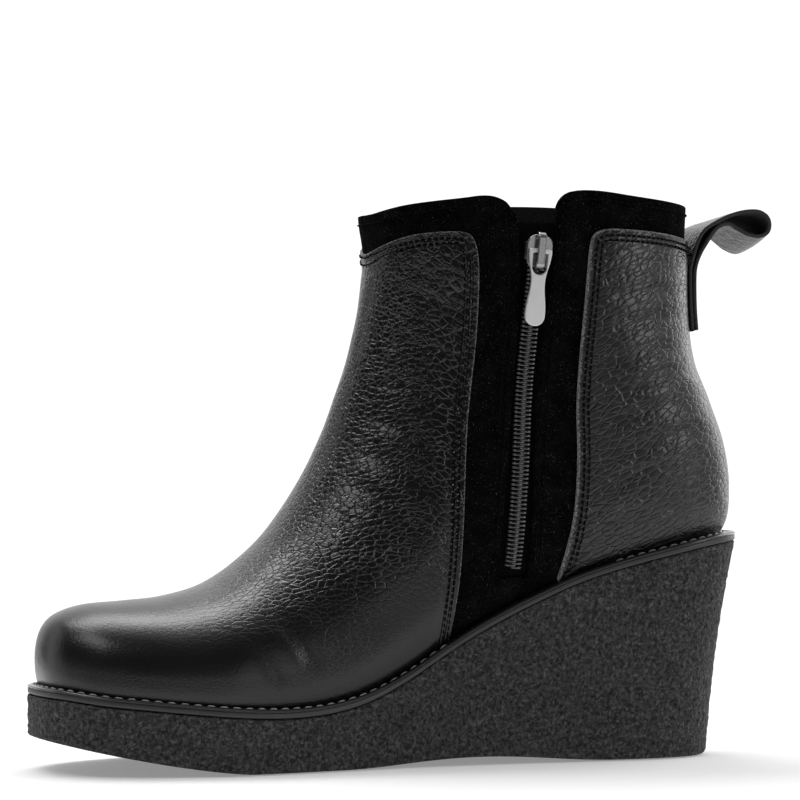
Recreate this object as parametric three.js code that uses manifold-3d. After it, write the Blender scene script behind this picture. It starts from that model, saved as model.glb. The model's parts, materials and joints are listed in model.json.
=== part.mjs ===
// Right ankle boot: leather over a suede shell, zip on the inner side, crepe wedge sole.
// Millimetres, +Z up, toe towards -X, heel towards +X, inner (medial) side with the zip towards -Y.
import * as THREE from "three";
import { mergeVertices } from "three/addons/utils/BufferGeometryUtils.js";
import Module from "manifold-3d";

const wasm = await Module();
wasm.setup();

// Driving sizes of the last: the hard shape that the upper takes
const lastLength = 246.6; // toe tip to heel back
const ballWidth = 88; // across the ball, at its widest
const legWidth = 71; // across the shaft
const toeBoxHeight = 34; // top of the toe over the sole
const legHeight = 112.5; // collar over the heel seat
const seatTuck = 7; // how far the last goes down past the feather edge

// Driving sizes of the sole
const platform = 17.7; // thickness of the wedge under the ball
const heelHeight = 75; // height of the wedge at the back
const toeRise = 7.2; // rise of the wedge's top from ball to toe
const toeSpring = 11.6; // lift of the tread at the toe
const archHollow = 2.4; // hollow of the tread under the arch
const heelBevel = 2.2; // lift of the tread at the back edge
const seatDip = 1; // how far the heel seat lies under the wedge's back edge
const rearSlant = 11; // how far the wedge's back leans in, top to bottom
const heelBow = 1.5; // hollow of the wedge's back between tread and welt
const weltReach = 4.7; // welt beyond the shell's edge
const weltHeelReach = 2.2; // how much further it reaches round the heel
const weltHeight = 3.2;
const weltInset = 2.4; // welt under the upper's wall
const bead = 1.5; // height of the round bead on the welt's edge
const beadBulge = 0.2; // how far the bead stands out past the band under it
const groove = 0.7; // depth of the groove between them

// Walls and clearances
const shellWall = 1.8; // suede and lining
const leatherWall = 1.2;
const insoleThickness = 5;
const insoleRound = 1; // bevel of the footbed's top edge
const gap = 0.3; // between pieces that touch
const strapGap = 0.45; // between the strap and the curved quarter
const lastingGap = 0.5; // between the welt's top and the upper's curved edge

// Driving sizes of the zip
const coilWidth = 5.8;
const coilDepth = 1.6;
const tapeThickness = 0.8;
const tapeMargin = 8; // tape beyond each side of the slot
const sliderWidth = 9;
const sliderLength = 11;
const sliderPlate = 1.3;
const crownWidth = 2.7;
const crownHeight = 2.7;
const crownWall = 0.8;
const crownRound = 2.5; // round of the crown's two ends
const crownFoot = 1.8; // length of each foot of the crown
const pullLength = 25.5; // pivot to the tab's end
const pullTopWidth = 8;
const pullWaist = 4.9;
const pullEndWidth = 7;
const pullThickness = 1.2;
const windowLength = 8.2;
const windowWidth = 5.2;
const barRadius = 0.55;

// Driving sizes of the pull loop
const strapWidth = 23;
const strapThickness = 0.9;
const strapTwist = 0.22; // droop of the free end across its width

// Sections of the last from toe to collar, each a plane that holds the Y direction.
// topAlong and baseAlong are shares of lastLength from the toe.
// lift goes from the forefoot, 0, to the heel seat, 1.
// topRise and baseRise are shares of the height there, centre, medial and lateral of the width there.
// waist is where the section is widest, as a share from base to top.
// baseRound and topRound are its squareness.
const lastColumns = [
  "topAlong", "topRise", "baseAlong", "baseRise", "lift",
  "centre", "medial", "lateral", "waist", "baseRound", "topRound",
];
const lastRows = [
  [0.0, 0.43, 0.0, 0.43, 0, -0.08, 0, 0, 0.5, 2.2, 2.2],
  [0.002, 0.6, 0.003, 0.27, 0, -0.08, 0.088, 0.085, 0.48, 2.3, 2.2],
  [0.01, 0.76, 0.011, 0.12, 0, -0.078, 0.168, 0.163, 0.45, 2.6, 2.2],
  [0.027, 0.86, 0.027, 0.05, 0, -0.072, 0.248, 0.238, 0.42, 3.0, 2.2],
  [0.062, 0.93, 0.057, 0.01, 0, -0.058, 0.336, 0.322, 0.4, 3.6, 2.2],
  [0.118, 0.96, 0.11, 0, 0, -0.036, 0.41, 0.4, 0.38, 4.0, 2.15],
  [0.175, 1.0, 0.167, 0, 0, -0.016, 0.458, 0.455, 0.37, 4.2, 2.1],
  [0.236, 1.12, 0.236, 0, 0, 0.002, 0.49, 0.49, 0.37, 4.2, 2.05],
  [0.284, 1.012, 0.313, 0, 0.08, 0.018, 0.488, 0.5, 0.38, 4.0, 2.0],
  [0.326, 0.87, 0.402, 0, 0.2, 0.036, 0.475, 0.5, 0.4, 3.7, 1.95],
  [0.36, 0.745, 0.499, 0, 0.35, 0.048, 0.458, 0.49, 0.42, 3.4, 1.92],
  [0.389, 0.645, 0.613, 0, 0.52, 0.05, 0.452, 0.476, 0.44, 3.2, 1.92],
  [0.413, 0.578, 0.734, 0, 0.7, 0.042, 0.455, 0.47, 0.46, 3.0, 1.95],
  [0.43, 0.55, 0.856, 0, 0.85, 0.03, 0.46, 0.467, 0.48, 2.7, 2.0],
  [0.443, 0.561, 0.939, 0.01, 0.94, 0.019, 0.462, 0.465, 0.49, 2.4, 2.05],
  [0.452, 0.588, 0.985, 0.076, 1, 0.012, 0.464, 0.466, 0.5, 2.25, 2.1],
  [0.459, 0.66, 0.993, 0.192, 1, 0.007, 0.468, 0.468, 0.5, 2.2, 2.1],
  [0.464, 0.733, 0.984, 0.325, 1, 0.004, 0.474, 0.474, 0.5, 2.2, 2.15],
  [0.467, 0.804, 0.961, 0.464, 1, 0.002, 0.482, 0.482, 0.5, 2.2, 2.2],
  [0.464, 0.876, 0.935, 0.617, 1, 0, 0.49, 0.49, 0.5, 2.2, 2.2],
  [0.459, 0.956, 0.926, 0.841, 1, 0, 0.495, 0.495, 0.5, 2.25, 2.25],
  [0.457, 1.071, 0.932, 1.152, 1, 0, 0.495, 0.495, 0.5, 2.25, 2.25],
];

// Top edge of the wedge. along is a share of lastLength, spring of toeRise,
// and climb of the rise from platform to heelHeight.
const wedgeColumns = ["along", "spring", "climb"];
const wedgeRows = [
  [-0.03, 1.05, 0],
  [0.013, 0.9, 0],
  [0.057, 0.67, 0],
  [0.122, 0.44, 0],
  [0.175, 0.26, 0],
  [0.244, 0.06, 0],
  [0.313, 0, 0],
  [0.373, 0, 0.023],
  [0.426, 0, 0.08],
  [0.487, 0, 0.2],
  [0.532, 0, 0.316],
  [0.58, 0, 0.436],
  [0.633, 0, 0.551],
  [0.69, 0, 0.66],
  [0.742, 0, 0.75],
  [0.815, 0, 0.84],
  [0.88, 0, 0.905],
  [0.949, 0, 0.963],
  [1.03, 0, 1],
];

// Outlines on the boot's sides. along is a share of lastLength, rise a share of legHeight over the heel seat.
const vampMedialEdge = [
  [0.3, 0.81], [0.452, 0.82], [0.463, 0.862], [0.494, 0.892], [0.527, 0.9], [0.558, 0.902],
  [0.571, 0.893], [0.579, 0.86], [0.583, 0.79], [0.584, 0.67], [0.582, 0.543],
  [0.571, 0.342], [0.566, 0.197], [0.562, 0.049], [0.557, -0.127], [0.546, -0.301], [0.54, -0.8],
];
const quarterMedialEdge = [
  [1.1, 0.89], [0.937, 0.893], [0.877, 0.909], [0.822, 0.916], [0.773, 0.918],
  [0.755, 0.912], [0.745, 0.897], [0.74, 0.865], [0.736, 0.76], [0.731, 0.65], [0.726, 0.52],
  [0.723, 0.375], [0.727, 0.253], [0.725, 0.076], [0.719, -0.013], [0.709, -0.131], [0.69, -0.8],
];
const vampLateralEdge = [
  [0.3, 0.81], [0.452, 0.82], [0.463, 0.862], [0.494, 0.892], [0.56, 0.903], [0.632, 0.91],
  [0.632, 0.7], [0.628, 0.45], [0.618, 0.2], [0.604, -0.05], [0.59, -0.3], [0.575, -0.8],
];
const lateralSeamWidth = 0.4;
const collarMedialEdge = [
  [0.3, 0.955], [0.459, 0.957], [0.471, 0.972], [0.491, 0.984], [0.526, 0.994], [0.565, 1.003],
  [0.584, 1.01], [0.601, 1.009], [0.615, 0.998], [0.624, 0.982], [0.63, 0.95],
  [0.689, 0.95], [0.692, 0.985], [0.7, 1.012], [0.713, 1.028], [0.735, 1.033],
  [0.765, 1.031], [0.811, 1.02], [0.865, 1.012], [0.947, 1.0], [1.1, 1.0],
];
const collarLateralEdge = [
  [0.3, 0.955], [0.459, 0.957], [0.491, 0.982], [0.565, 1.003], [0.65, 1.018],
  [0.76, 1.026], [0.865, 1.012], [0.947, 1.0], [1.1, 1.0],
];

// The slot's sides and the zip's middle line between them, by rise over the heel seat
const slotColumns = ["rise", "front", "middle", "back"];
const slotRows = [
  [-0.135, 0.614, 0.636, 0.659],
  [-0.084, 0.615, 0.638, 0.66],
  [0.018, 0.618, 0.641, 0.662],
  [0.164, 0.624, 0.645, 0.664],
  [0.316, 0.63, 0.648, 0.666],
  [0.467, 0.635, 0.651, 0.669],
  [0.582, 0.638, 0.655, 0.673],
  [0.724, 0.641, 0.66, 0.681],
  [0.864, 0.637, 0.666, 0.69],
  [1.1, 0.629, 0.676, 0.692],
];
const sliderRise = 0.845; // middle of the slider
const coilTopRise = 0.8;

// Middle line of the pull loop: up the back seam, out as the upper strand, round, and back as the lower one.
// out is a share of strapReach behind the seam, up a share of strapRise over the seam's foot.
const strapReach = 28.8;
const strapRise = 41;
const strapFootRise = 0.62; // the seam's foot, a share of legHeight
const strapSewn = 0.6; // how much of the strap's rise is sewn to the boot
const strapRows = [
  [0.0, 0.0], [0.0, 0.3], [0.0, 0.6], [0.02, 0.74], [0.12, 0.86], [0.28, 0.93],
  [0.47, 0.98], [0.68, 1.0], [0.86, 0.985], [0.97, 0.93], [1.0, 0.86], [0.97, 0.79],
  [0.86, 0.75], [0.7, 0.765], [0.53, 0.8], [0.4, 0.815], [0.28, 0.78], [0.17, 0.7],
  [0.085, 0.6], [0.045, 0.45], [0.04, 0.2], [0.04, 0.01],
];

// Heights and places that follow from the sizes
const toeX = -lastLength / 2;
const featherLift = weltHeight + lastingGap;
const forefootSeat = platform + featherLift;
const heelSeat = heelHeight + featherLift - seatDip;
const alongX = (share) => toeX + share * lastLength;
const riseZ = (share) => heelSeat + share * legHeight;

// A smooth curve through a table's rows, over its first column or over the row numbers.
function smoothTable(columns, rows, byFirstColumn) {
  const places = rows.map((row, i) => (byFirstColumn ? row[0] : i));
  const values = Float64Array.from(rows.flat());
  const curve = new THREE.CubicInterpolant(places, values, columns.length);
  return (at) => {
    const low = places[0];
    const high = places[places.length - 1];
    const found = curve.evaluate(Math.min(Math.max(at, low), high));
    return Object.fromEntries(columns.map((name, i) => [name, found[i]]));
  };
}
const lastRow = smoothTable(lastColumns, lastRows, false);
const wedgeRow = smoothTable(wedgeColumns, wedgeRows, true);
const slotRow = smoothTable(slotColumns, slotRows, true);
const lastEnd = lastRows.length - 1;

// Height of the wedge's top over a place along the boot.
function wedgeTop(x) {
  const row = wedgeRow((x - toeX) / lastLength);
  return platform + toeRise * row.spring + (heelHeight - platform) * row.climb;
}

// The feather edge is where the upper meets the welt.
const featherZ = (x) => wedgeTop(x) + featherLift;

// Height of the tread over the floor: flat at the ball and the heel, hollow between, sprung at the toe.
const flatBall = [0.255, 0.385];
const flatHeel = [0.8, 0.925];
const toeCurve = 1.4; // how much the toe spring gathers towards the tip
function treadZ(x) {
  const along = (x - toeX) / lastLength;
  const toeEnd = -weltReach / lastLength;
  const heelEnd = 1 - (rearSlant - weltReach - weltHeelReach) / lastLength;
  if (along < flatBall[0]) {
    return toeSpring * ((flatBall[0] - along) / (flatBall[0] - toeEnd)) ** toeCurve;
  }
  if (along > flatBall[1] && along < flatHeel[0]) {
    const share = (along - flatBall[1]) / (flatHeel[0] - flatBall[1]);
    return archHollow * Math.sin(Math.PI * share) ** 2;
  }
  if (along > flatHeel[1]) {
    return heelBevel * Math.min((along - flatHeel[1]) / (heelEnd - flatHeel[1]), 1) ** 2;
  }
  return 0;
}

// A point of the last: u runs over the sections, v once round each.
// v starts at the base and goes up the lateral side to the top.
function lastPoint(u, v) {
  const row = lastRow(u);
  const height = toeBoxHeight + row.lift * (legHeight - toeBoxHeight);
  const width = ballWidth + row.lift * (legWidth - ballWidth);
  const seat = forefootSeat + row.lift * (heelSeat - forefootSeat);
  const topX = alongX(row.topAlong);
  const topZ = seat + row.topRise * height;
  const baseX = alongX(row.baseAlong);
  const baseZ = featherZ(baseX) - seatTuck + row.baseRise * height;
  const angle = 2 * Math.PI * v - Math.PI / 2;
  const across = Math.cos(angle);
  const up = Math.sin(angle);
  const round = up < 0 ? row.baseRound : row.topRound;
  const reach = (Math.abs(across) ** round + Math.abs(up) ** round) ** (-1 / round);
  const half = across < 0 ? row.medial : row.lateral;
  const share = row.waist + up * reach * (up < 0 ? row.waist : 1 - row.waist);
  return new THREE.Vector3(
    baseX + (topX - baseX) * share,
    row.centre * ballWidth + across * reach * half * width,
    baseZ + (topZ - baseZ) * share,
  );
}

// The last's outward direction at a point.
function lastNormal(u, v) {
  if (u < 0.05) return new THREE.Vector3(-1, 0, 0);
  const step = 0.01;
  const inside = Math.min(u, lastEnd - step);
  const alongU = lastPoint(inside + step, v).sub(lastPoint(inside - step, v));
  const alongV = lastPoint(u, v + step).sub(lastPoint(u, v - step));
  return alongV.cross(alongU).normalize();
}
const offsetPoint = (u, v, offset) => lastPoint(u, v).addScaledVector(lastNormal(u, v), offset);

// The (u, v) where the last, grown by offset, has two wanted coordinates, found by stepping from a start.
function findOnLast(want, start, offset) {
  const [first, second] = Object.keys(want);
  const step = 0.01;
  let { u, v } = start;
  for (let i = 0; i < 40; i++) {
    const p = offsetPoint(u, v, offset);
    const du = offsetPoint(u + step, v, offset).sub(p).divideScalar(step);
    const dv = offsetPoint(u, v + step, offset).sub(p).divideScalar(step);
    const det = du[first] * dv[second] - dv[first] * du[second];
    const missFirst = want[first] - p[first];
    const missSecond = want[second] - p[second];
    const stepU = (missFirst * dv[second] - dv[first] * missSecond) / det;
    const stepV = (du[first] * missSecond - missFirst * du[second]) / det;
    u = THREE.MathUtils.clamp(u + 0.7 * stepU, 1, lastEnd - 0.1);
    v += THREE.MathUtils.clamp(0.7 * stepV, -0.05, 0.05);
  }
  return { u, v };
}
const medialStart = { u: 16, v: 0.75 };
const backStart = { u: 18, v: 0 };

// Skins a list of rings, each with the same number of points. Rings may shrink to a point or a line.
function loft(rings, closed = false) {
  const size = rings[0].length;
  const position = rings.flat().flatMap((p) => [p.x, p.y, p.z]);
  const index = [];
  const last = closed ? rings.length : rings.length - 1;
  for (let i = 0; i < last; i++) {
    for (let j = 0; j < size; j++) {
      const a = i * size + j;
      const b = i * size + ((j + 1) % size);
      const c = ((i + 1) % rings.length) * size + j;
      const d = ((i + 1) % rings.length) * size + ((j + 1) % size);
      index.push(a, b, d, a, d, c);
    }
  }
  const geometry = new THREE.BufferGeometry();
  geometry.setAttribute("position", new THREE.Float32BufferAttribute(position, 3));
  geometry.setIndex(index);
  return geometry;
}

// Turns a closed geometry into a solid: merges shared points, drops empty faces, and faces it outwards.
function solid(source) {
  const bare = source.clone();
  bare.deleteAttribute("normal");
  bare.deleteAttribute("uv");
  const merged = mergeVertices(bare, 1e-4);
  const index = merged.index.array;
  const faces = [];
  for (let i = 0; i < index.length; i += 3) {
    const [a, b, c] = index.slice(i, i + 3);
    if (a !== b && b !== c && c !== a) faces.push([a, b, c]);
  }
  const vertProperties = Float32Array.from(merged.attributes.position.array);
  const build = (list) => {
    const triVerts = Uint32Array.from(list.flat());
    return new wasm.Manifold(new wasm.Mesh({ numProp: 3, vertProperties, triVerts }));
  };
  const made = build(faces);
  return made.volume() < 0 ? build(faces.map(([a, b, c]) => [a, c, b])) : made;
}

// The last grown or shrunk by offset, as a closed solid.
function lastSolid(offset, alongCount, roundCount) {
  const rings = [];
  for (let i = 0; i <= alongCount; i++) {
    const u = (lastEnd * i) / alongCount;
    rings.push(
      Array.from({ length: roundCount }, (_, j) => offsetPoint(u, j / roundCount, offset)),
    );
  }
  const top = rings[rings.length - 1];
  const middle = top.reduce((sum, p) => sum.add(p), new THREE.Vector3()).divideScalar(top.length);
  rings.push(top.map(() => middle));
  return solid(loft(rings));
}

// A prism along Y from an outline in X and Z.
function sidePrism(outline, yFrom, yTo) {
  const shape = new THREE.Shape(outline.map(([x, z]) => new THREE.Vector2(x, z)));
  const geometry = new THREE.ExtrudeGeometry(shape, { depth: yTo - yFrom, bevelEnabled: false });
  return solid(geometry.rotateX(Math.PI / 2).translate(0, yTo, 0));
}
const sidePoints = (edge) => edge.map(([along, rise]) => [alongX(along), riseZ(rise)]);
const farY = 2 * ballWidth;
const farX = 2 * lastLength;
const sideLap = 0.05; // the two sides' cuts overlap by this at the middle, so that they are one

// Everything below the feather edge.
const featherSteps = 60;
const featherLine = Array.from({ length: featherSteps + 1 }, (_, i) => {
  const x = alongX(-0.1 + (1.2 * i) / featherSteps);
  return [x, featherZ(x)];
});
const underFeather = sidePrism([[alongX(1.1), -farX], [alongX(-0.1), -farX], ...featherLine], -farY, farY);

// The shell: suede outside, lining inside, open at the collar, the slot and underneath
const alongCount = 30;
const roundCount = 26;
const outerForm = lastSolid(0, alongCount, roundCount);
const innerForm = lastSolid(-shellWall, alongCount, roundCount);
const collarTop = (edge) => [[farX, 3 * legHeight], [-farX, 3 * legHeight], ...sidePoints(edge)];
const overCollar = sidePrism(collarTop(collarMedialEdge), -farY, sideLap)
  .add(sidePrism(collarTop(collarLateralEdge), -sideLap, farY));
const slotSteps = 16;
const slotRises = Array.from({ length: slotSteps + 1 }, (_, i) => {
  const low = slotRows[0][0];
  return low + ((slotRows[slotRows.length - 1][0] - low) * i) / slotSteps;
});
function slotOutline(margin, bottomRise, topRise, front = "front", back = "back") {
  const rises = [bottomRise, ...slotRises.filter((r) => r > bottomRise && r < topRise), topRise];
  const side = (name, way) =>
    rises.map((rise) => [alongX(slotRow(rise)[name]) + way * margin, riseZ(rise)]);
  return [...side(front, -1), ...side(back, 1).reverse()];
}
const slotBottom = slotRows[0][0];
const slotTop = 1.09; // past the collar, so that the slot is open there
const slotCut = sidePrism(slotOutline(0, slotBottom, slotTop), -farY, 0);
const shell = outerForm
  .subtract(innerForm)
  .subtract(underFeather)
  .subtract(overCollar)
  .subtract(slotCut);

// The leather panels lie over the shell, cut between two larger forms
const leatherBand = lastSolid(gap + leatherWall, alongCount, roundCount)
  .subtract(lastSolid(gap, alongCount, roundCount))
  .subtract(underFeather);
const frontOf = (edge) => [[-farX, riseZ(edge[0][1])], ...sidePoints(edge), [-farX, -farX]];
const behind = (edge) => [[farX, riseZ(edge[0][1])], ...sidePoints(edge), [farX, -farX]];
const quarterLateralEdge = [
  [1.1, 0.89], [0.937, 0.893], [0.877, 0.905], [0.76, 0.913],
  ...vampLateralEdge.slice(5).map(([along, rise]) => [along + lateralSeamWidth / lastLength, rise]),
];
const vampLeather = leatherBand.intersect(
  sidePrism(frontOf(vampMedialEdge), -farY, sideLap)
    .add(sidePrism(frontOf(vampLateralEdge), -sideLap, farY)),
);
const quarterLeather = leatherBand.intersect(
  sidePrism(behind(quarterMedialEdge), -farY, sideLap)
    .add(sidePrism(behind(quarterLateralEdge), -sideLap, farY)),
);

// The outline where the last, grown by offset, meets the feather surface, from the toe round to the toe.
const outlineStations = 34;
const around = 2 * outlineStations;
function featherOutline(offset) {
  const above = (u, v) => {
    const p = offsetPoint(u, v, offset);
    return p.z > featherZ(p.x);
  };
  // Halves the stretch between a place above the feather surface and one under it.
  const crossing = (over, under, isAbove) => {
    for (let i = 0; i < 30; i++) {
      const mid = (over + under) / 2;
      if (isAbove(mid)) over = mid;
      else under = mid;
    }
    return under;
  };
  const from = crossing(0.1, 4, (u) => above(u, 0));
  const to = crossing(18, 13, (u) => above(u, 0));
  const stationU = (i) => from + ((to - from) * (1 - Math.cos((Math.PI * i) / outlineStations))) / 2;
  const medial = (i) => {
    const u = stationU(i);
    return offsetPoint(u, crossing(0.75, 1, (v) => above(u, v)), offset);
  };
  const lateral = (i) => {
    const u = stationU(i);
    return offsetPoint(u, crossing(0.25, 0, (v) => above(u, v)), offset);
  };
  const points = [];
  for (let i = 0; i < outlineStations; i++) points.push(medial(i));
  for (let i = outlineStations; i > 0; i--) points.push(lateral(i));
  return new THREE.CatmullRomCurve3(points.map((p) => new THREE.Vector3(p.x, p.y, 0)), true, "centripetal");
}

// An outline grown by reach, and by more round the heel, seen from above. Station 0 is the toe.
function grownOutline(curve, reach, more = 0) {
  const turn = Math.sign(THREE.ShapeUtils.area(curve.getPoints(around)));
  return Array.from({ length: around }, (_, i) => {
    const p = curve.getPoint(i / around);
    const t = curve.getTangent(i / around);
    const grow = turn * (reach + more * THREE.MathUtils.smoothstep((p.x - toeX) / lastLength, 0.75, 1));
    return new THREE.Vector2(p.x + grow * t.y, p.y - grow * t.x);
  });
}
const shellEdge = featherOutline(0);

// The wedge: rings across the boot, each from one side's outline to the other's, with stepped side walls
const wedgeOutline = grownOutline(shellEdge, weltReach, weltHeelReach);
const sideLevels = [0, 0.3, 0.65, 1];
const sideTaper = 0.02; // share by which the wedge narrows towards the floor, twice that at the heel
function wedgeSide(station) {
  const top = wedgeOutline[station];
  const along = (top.x - toeX) / lastLength;
  const rear = THREE.MathUtils.smoothstep(along, 0.55, 1);
  const topHeight = wedgeTop(top.x);
  return sideLevels.map((level) => {
    const down = 1 - level;
    const x = top.x - rear * (rearSlant * down + heelBow * Math.sin(Math.PI * level));
    const y = top.y * (1 - sideTaper * down * (1 + rear));
    const low = treadZ(x);
    return new THREE.Vector3(x, y, low + (topHeight - low) * level);
  });
}
const wedgeRings = [];
for (let i = 0; i <= outlineStations; i++) {
  const medial = wedgeSide(i);
  const lateral = wedgeSide((around - i) % around);
  wedgeRings.push([...medial, ...lateral.reverse()]);
}
const wedge = solid(loft(wedgeRings));

// A ring round the boot: section points are [outward, height over the wedge's top].
function rand(section) {
  const outlines = section.map(([outward]) =>
    grownOutline(shellEdge, outward, outward > 0 ? weltHeelReach : 0),
  );
  const rings = Array.from({ length: around }, (_, i) =>
    section.map(([, height], k) => {
      const p = outlines[k][i];
      return new THREE.Vector3(p.x, p.y, wedgeTop(p.x) + height);
    }),
  );
  return solid(loft(rings, true));
}
const beadFoot = weltHeight - bead;
const welt = rand([
  [-weltInset, gap],
  [weltReach, gap],
  [weltReach, beadFoot - groove / 2],
  [weltReach - groove, beadFoot],
  [weltReach + beadBulge, beadFoot + bead / 2],
  [weltReach - bead / 3, weltHeight],
  [-weltInset, weltHeight],
]);

// The insole: a footbed that fits inside the welt and the zip's tape, with a rounded top edge
const insoleEdge = featherOutline(-shellWall - tapeThickness - 2 * gap);
const footbed = [
  [-gap, gap],
  [-gap, gap + insoleThickness - insoleRound],
  [-gap - insoleRound, gap + insoleThickness],
];
const footbedOutlines = footbed.map(([outward]) => grownOutline(insoleEdge, outward));
const footbedSide = (station) =>
  footbed.map(([, height], k) => {
    const p = footbedOutlines[k][station];
    return new THREE.Vector3(p.x, p.y, wedgeTop(p.x) + height);
  });
const insoleRings = [];
for (let i = 0; i <= outlineStations; i++) {
  insoleRings.push([...footbedSide(i), ...footbedSide((around - i) % around).reverse()]);
}
const insole = solid(loft(insoleRings));

// A strip of the medial side between two offsets, cut by an outline.
function sideStrip(outline, low, high) {
  return lastSolid(high, alongCount, roundCount)
    .subtract(lastSolid(low, alongCount, roundCount))
    .intersect(sidePrism(outline, -farY, 0));
}
const tapeTop = -shellWall - gap;
const underFootbed = underFeather.translate([0, 0, insoleThickness]);
const tapeRises = [slotBottom - 0.04, 0.93];
const tapeOutline = slotOutline(tapeMargin, ...tapeRises);
const tape = sideStrip(tapeOutline, tapeTop - tapeThickness, tapeTop).subtract(underFootbed);
const coilBottom = tapeTop + gap;
const coilRises = [slotBottom + 0.03, coilTopRise];
const coilOutline = slotOutline(coilWidth / 2, ...coilRises, "middle", "middle");
const coil = sideStrip(coilOutline, coilBottom, coilBottom + coilDepth);

// The slider's own frame: X along the boot's side, Y up along the zip, Z out of the surface
const sliderX = alongX(slotRow(sliderRise).middle);
const sliderSpot = findOnLast({ x: sliderX, z: riseZ(sliderRise) }, medialStart, 0);
const aboveRise = sliderRise + 0.05;
const sliderAbove = findOnLast(
  { x: alongX(slotRow(aboveRise).middle), z: riseZ(aboveRise) }, medialStart, 0,
);
const outDirection = lastNormal(sliderSpot.u, sliderSpot.v);
const upDirection = lastPoint(sliderAbove.u, sliderAbove.v)
  .sub(lastPoint(sliderSpot.u, sliderSpot.v))
  .projectOnPlane(outDirection)
  .normalize();
const sideDirection = upDirection.clone().cross(outDirection);
const sliderFrame = new THREE.Matrix4()
  .makeBasis(sideDirection, upDirection, outDirection)
  .setPosition(lastPoint(sliderSpot.u, sliderSpot.v));
const box = (width, height, depth, x, y, z) =>
  solid(new THREE.BoxGeometry(width, height, depth).translate(x, y, z));
const coilTop = coilBottom + coilDepth;
const plateLow = coilTop + gap;
const plateTop = plateLow + sliderPlate;
const flangeWidth = (sliderWidth - coilWidth) / 2 - gap;
const flangeLow = tapeTop + gap;

// Slider: a shouldered plate with flanges beside the coil, and a crown to carry the tab
const shoulder = 0.45; // round of the plate's upper corners, a share of its half width
const taper = 0.22; // narrowing of its lower end, the same way
const flangeShare = 0.6; // length of the flanges, a share of the slider's
const bond = 0.2; // how far joined pieces sink into each other
function sliderSolid() {
  const half = sliderWidth / 2;
  const low = -sliderLength / 2;
  const round = shoulder * half;
  const narrow = taper * half;
  const outline = new THREE.Shape();
  outline.moveTo(-half + narrow, low);
  outline.lineTo(half - narrow, low);
  outline.quadraticCurveTo(half, low + narrow, half, 0);
  outline.lineTo(half, -low - round);
  outline.quadraticCurveTo(half, -low, half - round, -low);
  outline.lineTo(-half + round, -low);
  outline.quadraticCurveTo(-half, -low, -half, -low - round);
  outline.lineTo(-half, 0);
  outline.quadraticCurveTo(-half, low + narrow, -half + narrow, low);
  const options = { depth: sliderPlate, bevelEnabled: false, curveSegments: 4 };
  let made = solid(new THREE.ExtrudeGeometry(outline, options).translate(0, 0, plateLow));
  for (const way of [-1, 1]) {
    const depth = plateLow + bond - flangeLow;
    const side = way * (half - flangeWidth / 2);
    made = made.add(
      box(flangeWidth, flangeShare * sliderLength, depth, side, 0, flangeLow + depth / 2),
    );
  }
  const arch = new THREE.Shape();
  const archHalf = sliderLength / 2 + crownWall;
  const archLow = plateTop - bond;
  const archTop = plateTop + crownHeight;
  arch.moveTo(-archHalf, archLow);
  arch.lineTo(archHalf, archLow);
  arch.quadraticCurveTo(archHalf, archTop, archHalf - crownRound, archTop);
  arch.lineTo(-archHalf + crownRound, archTop);
  arch.quadraticCurveTo(-archHalf, archTop, -archHalf, archLow);
  const hole = new THREE.Path();
  const holeHalf = archHalf - crownFoot;
  const holeTop = archTop - crownWall;
  hole.moveTo(-holeHalf, plateTop);
  hole.lineTo(-holeHalf + crownWall, holeTop);
  hole.lineTo(holeHalf - crownWall, holeTop);
  hole.lineTo(holeHalf, plateTop);
  arch.holes.push(hole);
  const crown = new THREE.ExtrudeGeometry(arch, {
    depth: crownWidth, bevelEnabled: false, curveSegments: 5,
  });
  crown.translate(0, 0, -crownWidth / 2);
  crown.applyMatrix4(new THREE.Matrix4().makeBasis(
    new THREE.Vector3(0, 1, 0), new THREE.Vector3(0, 0, 1), new THREE.Vector3(1, 0, 0),
  ));
  return made.add(solid(crown));
}

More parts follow.
